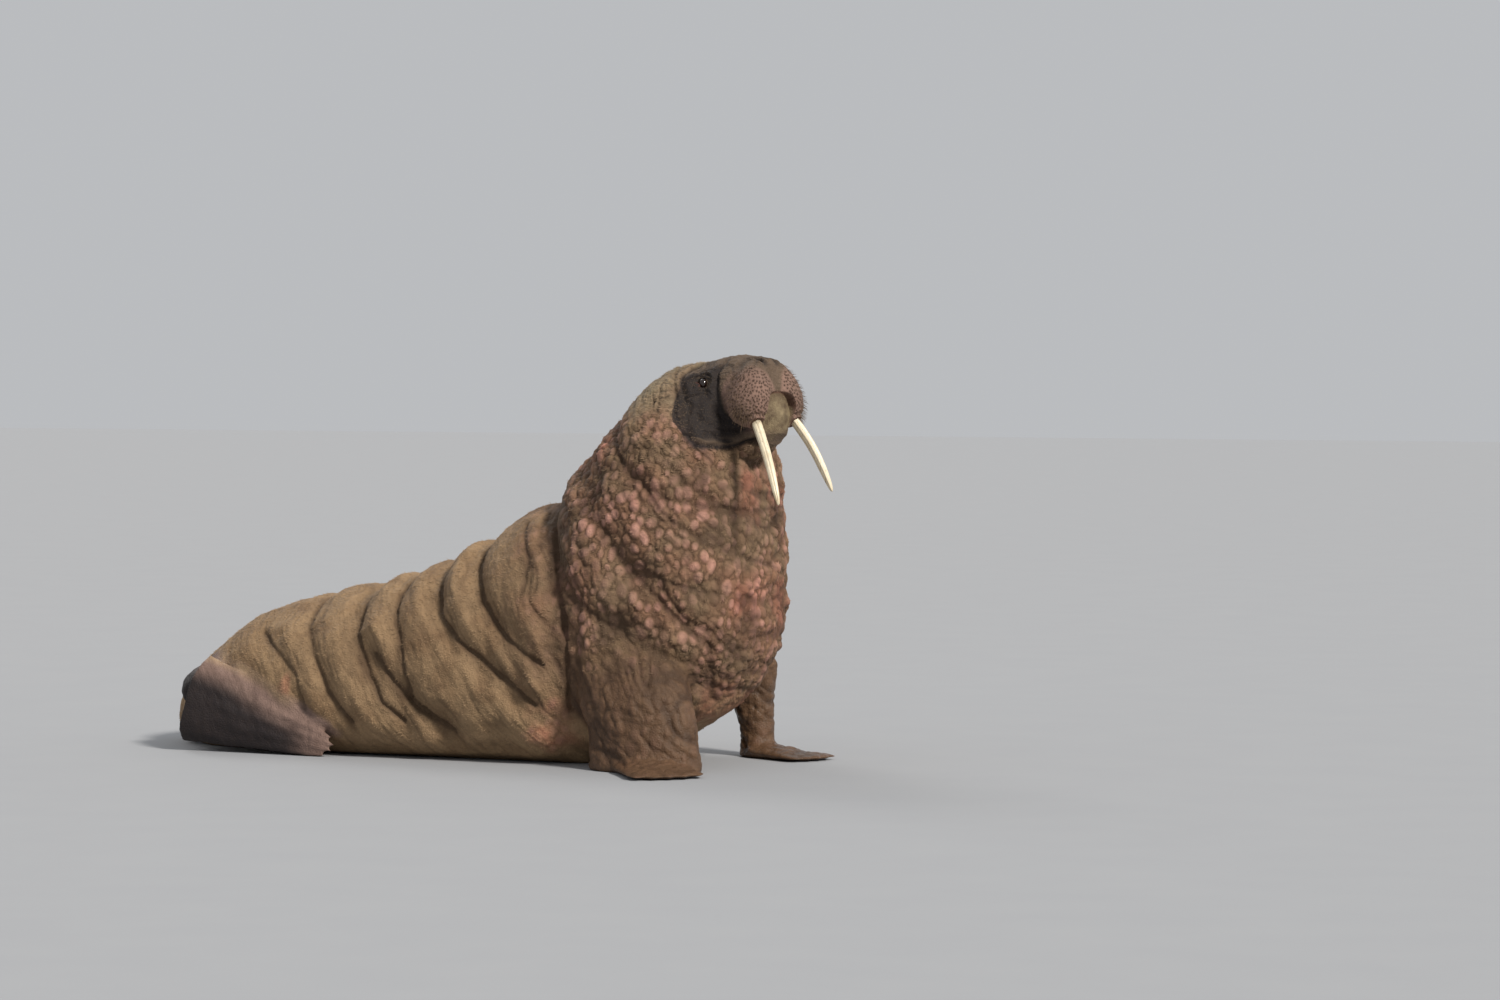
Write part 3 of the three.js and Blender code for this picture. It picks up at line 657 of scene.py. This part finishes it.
        # Painted shade in the fold behind the head.
        self.darken(self.low_side * bump(self.inside, 0.010))
        rear = self.low_side * step(0.0, -0.04, self.x) * step(0.05, 0.0, self.z)
        self.add("jowl_roll", rear * bump(self.inside - 0.022, 0.010))
        self.ridge = rear * bump(self.inside - 0.020, 0.008) * step(-0.23, -0.17, self.z)
        self.ridge *= 0.6 + 0.4 * self.noise(0.03, 53)

        hide = step(0.04, 0.09, self.side) * step(0.13, 0.06, self.x)
        hide *= step(-0.01, 0.03, self.inside - 0.012 * step(-0.21, -0.13, self.z))
        hide *= 0.40 + 0.60 * bump(np.minimum(self.crease + 0.03, 0), 0.05)
        hide *= step(0.0, -0.06, self.z + 0.03 * self.noise(0.07, 49))
        # The jowl and cheek: dark hide deepened with painted shade.
        self.darken((0.62 + 0.32 * self.noise(0.03, 50)) * hide)

        from_fold = line_distance(self.points[:, [2, 0]], CHEEK_FOLD) + 0.003 * self.noise(0.03, 57)
        self.add("cheek_roll", self.flank * bump(from_fold - 0.017, 0.009))
        self.add("cheek_fold", self.flank * bump(from_fold, 0.006))
        # Painted shade in the cheek fold.
        self.darken(0.95 * self.flank * bump(from_fold, 0.007))

    def whisker_pits(self):
        tree = kdtree.KDTree(len(self.points))
        for k, point in enumerate(folded(self.points)):
            tree.insert(point, k)
        tree.balance()
        for at, _, _, _ in ROOTS:
            for _, index, away in tree.find_range(at, 2.5 * PIT_RADIUS):
                hole = math.exp(-((away / PIT_RADIUS) ** 2))
                self.rise[index] += RELIEF["whisker_pit"] * hole
                # Painted shade in each whisker pit.
                self.pit[index] = max(self.pit[index], hole)

    def tusk_sockets(self):
        """A roll and a groove of gum round each tusk, where it leaves the pad."""
        along = np.clip((TUSK_ROOT[2] - self.z) / (TUSK_ROOT[2] - TUSK_TIP[2]), 0, 1)
        steps = 32
        axis = np.array([tusk_axis(k / steps) for k in range(steps + 1)])
        middle = axis[np.round(along * steps).astype(int)]
        away = np.hypot(self.x - middle[:, 0], self.side - middle[:, 1]) - TUSK_RADIUS
        low = step(-0.15, -0.19, self.z)
        self.add("gum_roll", low * bump(away - 0.010, 0.006))
        self.add("gum_groove", low * bump(away - 0.022, 0.004))
        self.rim = np.maximum(self.rim, low * bump(away, 0.008))

    def mouth(self):
        """Pushes the lower lip into the arch between the pads, and smooths what lies in it."""
        half = LIP_ARCH["half"]
        under = arch_height(self.side) - self.z
        mouth = step(-0.003, 0.005, under) * step(0.11, 0.14, self.x) * step(-0.30, -0.27, self.z)
        mouth *= step(half + 0.002, half - 0.010, self.side)
        lip_at = np.interp(self.z, *zip(*LOWER_LIP)) - LIP_ARCH["bend"] * self.side**2
        # A thin line of painted shade along the arch's edge, over the lower lip.
        edge = 0.8 * bump(under - 0.002, 0.004) * step(0.14, 0.18, self.x) * (self.side < half)
        self.rim = np.maximum(self.rim, edge)
        self.pad *= 1 - mouth
        self.rise *= 1 - 0.8 * mouth
        self.pit *= 1 - mouth
        self.dark *= 1 - mouth
        self.lip = mouth * step(-0.275, -0.235, self.z + 0.01 * self.noise(0.03, 55))
        self.shade = mouth * step(0.045, 0.0, under)
        return mouth * np.clip(lip_at - self.x, -0.05, 0.03)

    def build(self, head):
        """All the forms, for points that are this much head."""
        self.around_eyes()
        self.pads()
        self.face()
        self.nose()
        ear = self.ears()
        self.jowls()
        self.whisker_pits()
        self.tusk_sockets()
        pushed = self.mouth()
        lids, blend, edge = lidded(self.points)
        self.rise *= 1 - blend
        self.rim = np.maximum(self.rim, edge)
        shift = (lids - self.points) * blend[:, None] + pushed[:, None] * [1, 0, 0]
        fold = step(-0.03, -0.01, self.inside) * self.low_side * step(-0.37, -0.33, self.z)
        self.rise *= np.maximum(np.maximum(head, ear), fold)
        found = {name: getattr(self, name) for name in HEAD_FIELDS}
        found["shift"] = shift @ np.array(head_to_row.to_3x3()).T
        return found


def head_forms(points):
    """How much each point is head, and the head's own forms over all points, by name."""
    local, inside, head = head_region(points)
    near = (local[:, 0] > -0.25) & (local[:, 2] > -0.40) & (np.linalg.norm(local, axis=1) < 0.8)
    full = {}
    for name, values in HeadForms(local[near], inside[near]).build(head[near]).items():
        full[name] = np.zeros((len(points), *values.shape[1:]))
        full[name][near] = values
    return head, full


# The skin's relief and masks


def raw_places(model):
    """How raw and reddened the hide is at each point."""
    red = np.zeros(len(model))
    for middle, radius in RAW_SPOTS:
        away = np.linalg.norm(folded(model) - middle, axis=1)
        red = np.maximum(red, step(radius, 0.3 * radius, away + 0.05 * noise(model, 0.06, 71)))
    return red


def hide_fields(points, model, head):
    """Where the fore and hind flippers, the thick hide and the raw places are, and the body's folds."""
    found = {"head": head, "red": raw_places(model)}
    for name in ("fore", "hind"):
        sides = [nearness(points, f"{name}_flipper_{side}") for side in ("left", "right")]
        found[name] = np.maximum(*sides)
    fore = found["fore"]
    front = step(-0.60, -0.12, model[:, 0] + 0.35 * (model[:, 2] - 0.6))
    upright = front * step(0.10, 0.38, model[:, 2] + 0.3 * fore)
    neck = found["neck"] = np.clip(upright * (1 - head), 0, 1)
    cobbled = neck * (1 - 0.45 * fore) * step(1.38, 1.24, model[:, 2] + 0.05 * noise(model, 0.1, 72))
    cobbled *= 0.25 + 0.75 * step(-0.30, -0.14, model[:, 0] + 0.2 * (model[:, 2] - 0.6))
    cobbled = np.maximum(cobbled, 0.5 * found["red"] * (1 - head) * (1 - fore))
    found["knob"], found["groove"], found["raw"] = knobs(model, cobbled)
    found["fold"], found["dusk"] = fold_lines(model)
    found["wide"], found["small"], found["net"], found["hair"] = wrinkles(model)
    return found


def hide_relief(model, of):
    """The height that folds, wrinkles and knobs add away from the head, from the values of hide_fields."""
    head, fore, hind, neck = (of[name] for name in ("head", "fore", "hind", "neck"))
    body = 1 - np.clip(fore + hind + head, 0, 1)
    rise = -of["fold"] * body
    rise -= (0.007 * of["wide"] + 0.0032 * of["small"]) * body * (0.35 + 0.65 * neck)
    rise -= 0.0022 * of["net"] * (0.25 + 0.75 * np.maximum(neck, fore)) * (1 - head)
    rise -= fore * (0.008 * of["wide"] + 0.004 * of["small"]) + hind * 0.0012 * of["small"]
    rise -= 0.0016 * of["hair"] * body * (1 - 0.6 * neck)
    rise += (0.006 * noise(model, 0.09, 51) + 0.0018 * noise(model, 0.022, 52)) * (1 - head)
    rise += KNOBS["height"] * of["knob"] - KNOBS["groove"] * of["groove"]
    return rise * (1 - head) * step(0.004, 0.05, model[:, 2])


def hide_masks(model, of, own):
    """The masks that the colours use, from the hide's fields and the head's own forms."""
    head, fore, hind, neck = (of[name] for name in ("head", "fore", "hind", "neck"))
    height = model[:, 2]
    # Painted shade in the deep folds and beside them, along the wrinkles, and, below, in the grooves between
    # the knobs.
    crossing = (0.3 + 0.7 * neck) * (0.55 * of["wide"] + 0.35 * of["small"])
    lines = crossing + 0.3 * of["net"] * neck + 0.3 * of["hair"]
    crease = np.clip(of["fold"] / 0.012 + 0.55 * of["dusk"] + lines, 0, 1)
    slope = height + 0.45 * (model[:, 0] + 1.75) + 0.03 * noise(model, 0.12, 73)
    # Painted shade on the lower face of each hind flipper.
    low_hind = step(0.0, 0.7, hind) * step(0.31, 0.22, slope) * step(-1.26, -1.44, model[:, 0])
    # The pale top of each hind flipper: light tan skin, partly painted light.
    ankle = hind * step(0.31, 0.38, slope) * step(-1.35, -1.50, model[:, 0])
    return {
        "neck": neck * (1 - 0.6 * fore),
        "head": head,
        "pad": own["pad"] * head,
        "pit": own["pit"],
        "rim": own["rim"],
        "dark": np.maximum(own["dark"], low_hind),
        "red": of["red"] * (1 - head),
        "crease": np.maximum(crease, 0.9 * of["groove"]) * (1 - head),
        "knob": np.clip(1.6 * of["raw"], 0, 1),
        "fore": fore * step(0.52, 0.30, height),
        "wet": fore * step(0.42, 0.22, height) * (0.55 + 0.45 * step(-0.1, 0.1, model[:, 1])),
        "nape": neck * step(1.26, 1.36, height + 0.04 * noise(model, 0.1, 74)),
        "shade": own["shade"],
        "hind": hind,
        "lip": own["lip"],
        "pale": np.maximum(own["ridge"], ankle),
    }


def build_skin():
    """The finished skin, and its masks."""
    skin = flesh_blank()
    soften(skin)
    refine(skin, on_head)
    refine(skin, on_pads_or_eyes)
    mesh = skin.data
    mesh.update()
    points, facing = positions(mesh), normals(mesh)
    model = points - np.array(SHIFT)
    head, own = head_forms(points)
    fields = hide_fields(points, model, head)
    rise = hide_relief(model, fields) + own["rise"]
    moved = points + facing * rise[:, None] + own["shift"]
    moved[:, 2] = np.maximum(moved[:, 2], 0)
    set_positions(mesh, moved)
    smooth_shading(mesh)
    masks = hide_masks(model, fields, own)
    for name, values in masks.items():
        attribute(mesh, name, values)
    return skin, masks


# Materials


class Shader:
    """Builds one material's nodes."""

    def __init__(self, name, **sockets):
        self.material = bpy.data.materials.new(name)
        self.material.use_nodes = True
        self.tree = self.material.node_tree
        self.surface = self.tree.nodes["Principled BSDF"]
        self.place = self.tree.nodes.new("ShaderNodeTexCoord").outputs["Object"]
        for socket, value in sockets.items():
            self.surface.inputs[socket.replace("_", " ")].default_value = value

    def link(self, value, socket):
        if hasattr(value, "is_output"):
            self.tree.links.new(value, socket)
        else:
            socket.default_value = value

    def mask(self, name):
        node = self.tree.nodes.new("ShaderNodeAttribute")
        node.attribute_name = name
        return node.outputs["Fac"]

    def math(self, operation, *values):
        node = self.tree.nodes.new("ShaderNodeMath")
        node.operation = operation
        for value, socket in zip(values, node.inputs):
            self.link(value, socket)
        return node.outputs[0]

    def mix(self, share, first, second):
        node = self.tree.nodes.new("ShaderNodeMix")
        node.data_type = "RGBA"
        self.link(share, node.inputs[0])
        self.link(first, node.inputs[6])
        self.link(second, node.inputs[7])
        return node.outputs[2]

    def stretched(self, scale):
        node = self.tree.nodes.new("ShaderNodeMapping")
        self.link(self.place, node.inputs["Vector"])
        node.inputs["Scale"].default_value = scale
        return node.outputs[0]

    def noise(self, scale, detail=3.0, stretch=None):
        node = self.tree.nodes.new("ShaderNodeTexNoise")
        self.link(self.stretched(stretch) if stretch else self.place, node.inputs["Vector"])
        node.inputs["Scale"].default_value = scale
        node.inputs["Detail"].default_value = detail
        return node.outputs["Fac"]

    def cells(self, scale):
        """The distance to the edge of irregular cells."""
        node = self.tree.nodes.new("ShaderNodeTexVoronoi")
        node.feature = "DISTANCE_TO_EDGE"
        self.link(self.place, node.inputs["Vector"])
        node.inputs["Scale"].default_value = scale
        return node.outputs["Distance"]

    def span(self, value, low, high, start=0.0, end=1.0):
        node = self.tree.nodes.new("ShaderNodeMapRange")
        for socket, number in zip(node.inputs, (value, low, high, start, end)):
            self.link(number, socket)
        return node.outputs[0]

    def bump(self, height, distance, strength, under=None):
        node = self.tree.nodes.new("ShaderNodeBump")
        node.inputs["Distance"].default_value = distance
        node.inputs["Strength"].default_value = strength
        self.link(height, node.inputs["Height"])
        if under:
            self.link(under, node.inputs["Normal"])
        return node.outputs[0]


def colour(red, green, blue):
    """A linear colour from 0-255 screen values."""
    return (*[((value / 255 + 0.055) / 1.055) ** 2.4 for value in (red, green, blue)], 1)


def hide_colour(shader):
    """The markings, with painted light and shade over them, the same on skin and coat."""
    broad = shader.noise(2.6, 4)
    patch = shader.noise(9, 5)
    mottled = shader.span(shader.noise(26, 5), 0.35, 0.65)
    pinker = shader.span(shader.noise(5.5, 4), 0.40, 0.62)

    def times(*shares):
        return shader.math("MULTIPLY", *shares)

    def tone(name, share):
        darker, lighter = TONES[name]
        return shader.mix(share, colour(*darker), colour(*lighter))

    hide = shader.mix(shader.span(patch, 0.45, 0.7, 0, 0.5), tone("back", broad), colour(*BLOTCH))
    hide = shader.mix(shader.mask("neck"), hide, tone("throat", broad))
    knob = times(shader.mask("knob"), shader.span(pinker, 0, 1, 0.25, 0.95))
    hide = shader.mix(knob, hide, tone("flesh", patch))
    hide = shader.mix(shader.mask("nape"), hide, tone("nape", broad))
    hide = shader.mix(times(times(pinker, shader.mask("neck")), 0.22), hide, colour(*BLUSH))
    sore = times(shader.mask("red"), shader.span(patch, 0.35, 0.6, 0.1, 0.5))
    hide = shader.mix(sore, hide, colour(*SORE))
    hide = shader.mix(times(shader.mask("fore"), 0.85), hide, tone("fore", patch))
    for name, share in (("hind", patch), ("head", patch), ("pad", patch), ("lip", mottled)):
        hide = shader.mix(shader.mask(name), hide, tone(name, share))
    # The stains: painted shade in creases, folds, pits, sockets and nostrils, painted light on the hind
    # flippers' tops, and the hide's own pale and reddened places.
    for name, strength, stain in STAINS_PAINTED_LIGHT_AND_SHADE:
        hide = shader.mix(times(shader.mask(name), strength), hide, colour(*stain))
    grime = shader.span(shader.noise(60, 4), 0.3, 0.75, 0.0, 0.25)
    return shader.mix(grime, hide, colour(*GRIME))


def skin_material():
    shader = Shader("walrus_hide", Specular_IOR_Level=0.22)
    shader.link(hide_colour(shader), shader.surface.inputs["Base Color"])
    wet = shader.math("MAXIMUM", shader.mask("wet"), shader.math("MULTIPLY", shader.mask("hind"), 0.3))
    shader.link(shader.span(wet, 0, 1, 0.72, 0.24), shader.surface.inputs["Roughness"])
    cracked = shader.math("MINIMUM", shader.cells(85), 0.25)
    under = shader.bump(cracked, 0.006, 0.6)
    under = shader.bump(shader.noise(260, 5), 0.003, 0.7, under)
    furred = shader.noise(1, 2, (160, 900, 700))
    shader.link(shader.bump(furred, 0.002, 0.5, under), shader.surface.inputs["Normal"])
    return shader.material


def coat_material():
    shader = Shader("short_fur", Roughness=0.7, Specular_IOR_Level=0.2)
    lit = shader.mix(0.10, hide_colour(shader), colour(206, 176, 140))
    shader.link(lit, shader.surface.inputs["Base Color"])
    return shader.material


def ivory_material():
    shader = Shader("tusk_ivory", Roughness=0.34, Specular_IOR_Level=0.5)
    streak = shader.noise(1, 4, (120, 120, 9))
    body = shader.mix(streak, colour(236, 226, 204), colour(214, 196, 160))
    stain = shader.span(shader.noise(14, 5), 0.55, 0.75, 0, 0.6)
    body = shader.mix(stain, body, colour(176, 148, 104))
    cracks = shader.span(shader.noise(1, 6, (260, 260, 7)), 0.62, 0.68, 0, 0.7)
    shader.link(shader.mix(cracks, body, colour(120, 94, 66)), shader.surface.inputs["Base Color"])
    shader.link(shader.bump(streak, 0.002, 0.6), shader.surface.inputs["Normal"])
    return shader.material


def eye_material():
    shader = Shader("wet_eye", Roughness=0.12, Coat_Weight=0.5)
    shade = shader.mix(shader.noise(90, 3), colour(16, 10, 8), colour(40, 24, 18))
    shader.link(shade, shader.surface.inputs["Base Color"])
    return shader.material


def whisker_material():
    shader = Shader("whisker_horn", Roughness=0.4)
    shade = shader.mix(shader.noise(40, 2), colour(120, 98, 74), colour(66, 50, 38))
    shader.link(shade, shader.surface.inputs["Base Color"])
    return shader.material


def floor_material():
    shader = Shader("floor_paper", Roughness=0.9)
    shade = shader.mix(shader.noise(3, 3), colour(154, 156, 160), colour(158, 160, 163))
    shader.link(shade, shader.surface.inputs["Base Color"])
    return shader.material


# Separate pieces


def placed(piece, slot, *nodes):
    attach(piece, "root")
    if nodes:
        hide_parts(*nodes)
    return piece


def in_head(points, side):
    return [head_to_row @ (Vector(p) if side == "left" else mirrored(p)) for p in points]


def outward(faces, side):
    return faces if side == "left" else [face[::-1] for face in faces]


def build_tusk(side, material):
    """A long tooth with shallow lengthwise grooves and a worn, rounded tip."""
    steps, sides = 72, 56
    seed = {"left": 61, "right": 62}[side]
    rings = []
    for k in range(steps + 1):
        t = k / steps
        middle = tusk_axis(t, TUSK_SHARE[side])
        radius = TUSK_RADIUS * (1 - 0.25 * t) * math.sqrt(max(0.0006, 1.0005 - t**6))
        ring = []
        for j in range(sides):
            angle = 2 * math.pi * j / sides
            ring.append((
                middle.x + radius * math.cos(angle),
                middle.y + 0.84 * radius * math.sin(angle),
                middle.z,
            ))
        rings.append(ring)
    points = np.array(rings)
    angles = np.linspace(0, 2 * math.pi, sides, endpoint=False)
    wave = 0.0009 * np.sin(5 * angles) + 0.0006 * np.sin(11 * angles + 1) + 0.0004 * np.sin(19 * angles)
    centre = points.mean(axis=1, keepdims=True)
    spread = points - centre
    size = np.linalg.norm(spread, axis=2, keepdims=True)
    dents = noise(points.reshape(-1, 3), (0.012, 0.012, 0.06), seed).reshape(size.shape)
    grown = spread * (1 + (wave[None, :, None] + 0.0007 * dents) / np.maximum(size, 0.004))
    verts, faces = loft((centre + grown).tolist())
    faces = outward([face[::-1] for face in faces], side)
    piece = mesh_object(f"tusk_ivory_{side}", in_head(verts, side), faces, material)
    smooth_shading(piece.data)
    return placed(piece, "ivory", f"tusk_{side}")


def build_eye(side, material):
    points, faces = ball(EYE_AT, (EYE_RADIUS,) * 3, 0, 40)
    piece = mesh_object(f"eyeball_{side}", in_head(points, side), outward(faces, side), material)
    smooth_shading(piece.data)
    return placed(piece, "eye", f"eye_{side}")


def build_whiskers(side, skin_tree, material):
    """Stiff tapered bristles rooted in the pad, longest low on its outer side."""
    draw = random.Random(71 if side == "left" else 72)
    steps, sides = 4, 4
    verts, faces = [], []
    for at, out, row, share in ROOTS:
        along = (out + Vector((0.25 * draw.random(), 0.25, -0.45 - 0.3 * draw.random()))).normalized()
        long = 0.009 + 0.042 * (0.3 * row + 0.7 * share) ** 1.5 * draw.uniform(0.6, 1.15)
        hit, _, _, _ = skin_tree.ray_cast(
            head_to_row @ (at + out * 0.03 if side == "left" else mirrored(at + out * 0.03)),
            head_to_row.to_3x3() @ (-out if side == "left" else mirrored(-out)),
            0.06,
        )
        if hit is None:
            continue
        root = head_to_row.inverted() @ hit
        root = root if side == "left" else mirrored(root)
        across = along.cross(Vector((0, 0, 1))).normalized()
        over = across.cross(along)
        rings = []
        for k in range(steps + 1):
            t = k / steps
            middle = root + along * (long * t - 0.004) + Vector((0, 0, -0.18 * long * t * t))
            size = 0.0011 * (1 - 0.8 * t)
            rings.append([
                middle + across * size * math.cos(a) + over * size * math.sin(a)
                for a in (2 * math.pi * j / sides for j in range(sides))
            ])
        points, polygons = loft(rings)
        start = len(verts)
        verts.extend(points)
        faces.extend(tuple(start + k for k in polygon) for polygon in polygons)
    piece = mesh_object(f"whiskers_{side}", in_head(verts, side), outward(faces, side), material)
    return placed(piece, "pad")


def build_coat(skin, masks, material):
    """Short flat tufts of fur over the body, in a few pieces."""
    points, facing = positions(skin.data), normals(skin.data)
    dense = (1 - masks["fore"]) * (1 - masks["hind"]) * (1 - 0.9 * masks["pad"]) * (1 - 0.5 * masks["head"])
    dense *= (1 - 0.35 * masks["neck"]) * (1 - masks["rim"]) * step(0.03, 0.08, points[:, 2] - SHIFT.z)
    chosen = np.random.default_rng(81).random(len(points)) < COAT["share"] * dense
    for part in range(COAT["pieces"]):
        roots = np.nonzero(chosen)[0][part::COAT["pieces"]]
        own = {name: values[roots] for name, values in masks.items()}
        build_tufts(part, points[roots], facing[roots], own, material)


def build_tufts(part, root, normal, masks, material):
    """One piece of the coat, each tuft three triangles with its own patch of the map."""
    draw = np.random.default_rng(90 + part)
    count = len(root)
    at = root - np.array(SHIFT)
    lie = np.tile([-0.86, 0.0, -0.5], (count, 1)) + 0.25 * draw.normal(size=(count, 3))
    lie -= normal * np.sum(lie * normal, axis=1, keepdims=True)
    lie /= np.linalg.norm(lie, axis=1, keepdims=True)
    side = np.cross(normal, lie)
    length = (draw.uniform(*COAT["length"], count) * (1 - 0.6 * masks["head"]))[:, None]
    width = draw.uniform(*COAT["width"], count)[:, None]
    lift = draw.uniform(0.10, 0.26, count) + 0.25 * np.clip(normal[:, 2], 0, 1)
    lift = lift[:, None] * length
    base = root - normal * 0.0012
    half = root + 0.5 * lie * length + 0.62 * normal * lift
    verts = np.empty((count, 5, 3))
    verts[:, 0] = base - side * width
    verts[:, 1] = base + side * width
    verts[:, 2] = half - 0.8 * side * width
    verts[:, 3] = half + 0.8 * side * width
    verts[:, 4] = root + lie * length + 0.85 * normal * lift
    starts = 5 * np.arange(count)[:, None]
    faces = np.concatenate([starts + [0, 1, 3], starts + [0, 3, 2], starts + [2, 3, 4]]).tolist()
    piece = mesh_object(f"short_fur_{part}", verts.reshape(-1, 3).tolist(), faces, material)
    for name, values in masks.items():
        attribute(piece.data, name, np.repeat(values, 5))
    around = np.arctan2(at[:, 1], at[:, 2] - 0.35) / (2 * math.pi) + 0.5
    down = (at[:, 0] - at[:, 0].min() + at[:, 2]) / 4.4
    patch = np.array([[-1, -1], [1, -1], [-0.8, 0], [0.8, 0], [0, 1]]) * 0.0014
    unwrap = np.stack([around, down], axis=1)[:, None, :] * 0.99 + 0.003 + patch[None]
    layer = piece.data.uv_layers.new(name="OFBake")
    loops = np.empty(len(piece.data.loops), np.int32)
    piece.data.loops.foreach_get("vertex_index", loops)
    layer.data.foreach_set("uv", unwrap.reshape(-1, 2)[loops].astype(np.float32).ravel())
    placed(piece, "hide")


# Floor, lights and camera


def ground_vector(angle):
    """The direction across the picture, to the right, and the one towards the camera."""
    right = Vector((math.cos(angle), math.sin(angle), 0))
    return right, Vector((math.sin(angle), -math.cos(angle), 0))


def build_stage():
    floor = mesh_object(
        "floor",
        [(-60, -60, 0), (60, -60, 0), (60, 60, 0), (-60, 60, 0)],
        [(0, 1, 2, 3)],
        floor_material(),
    )
    world = bpy.data.worlds.new("studio")
    world.use_nodes = True
    background = world.node_tree.nodes["Background"]
    background.inputs["Color"].default_value = WORLD_COLOUR
    background.inputs["Strength"].default_value = WORLD_STRENGTH
    bpy.context.scene.world = world
    bpy.context.scene.view_settings.view_transform = "Standard"
    right, forward = ground_vector(CAMERA["azimuth"])
    for name, (place, spread, power, tint) in LIGHTS.items():
        offset = place[0] * right + place[1] * forward + Vector((0, 0, place[2]))
        data = bpy.data.lights.new(name, "SUN")
        data.angle = math.radians(spread)
        data.energy = power
        data.color = tint
        lamp = bpy.data.objects.new(name, data)
        bpy.context.collection.objects.link(lamp)
        lamp.location = SHIFT + 6 * offset
        lamp.rotation_euler = (-offset).to_track_quat("-Z", "Y").to_euler()


def build_camera():
    right, forward = ground_vector(CAMERA["azimuth"])
    data = bpy.data.cameras.new("camera")
    data.lens = CAMERA["lens"]
    data.clip_end = 200
    camera = bpy.data.objects.new("camera", data)
    bpy.context.collection.objects.link(camera)
    middle = Vector((SHIFT.x, SHIFT.y, 0))
    camera.location = middle + CAMERA["distance"] * forward + Vector((0, 0, CAMERA["height"]))
    aim = middle + CAMERA["aim_right"] * right + Vector((0, 0, CAMERA["aim_height"]))
    camera.rotation_euler = (aim - camera.location).to_track_quat("-Z", "Y").to_euler()
    bpy.context.scene.camera = camera


skin, masks = build_skin()
skin.data.materials.clear()
skin.data.materials.append(skin_material())
placed(skin, "hide", *FLESH, *PADS)
skin_tree = BVHTree.FromObject(skin, bpy.context.evaluated_depsgraph_get())
ivory, eye_gloss, horn = ivory_material(), eye_material(), whisker_material()
for side in ("left", "right"):
    build_tusk(side, ivory)
    build_eye(side, eye_gloss)
    build_whiskers(side, skin_tree, horn)
build_coat(skin, masks, coat_material())
build_stage()
build_camera()
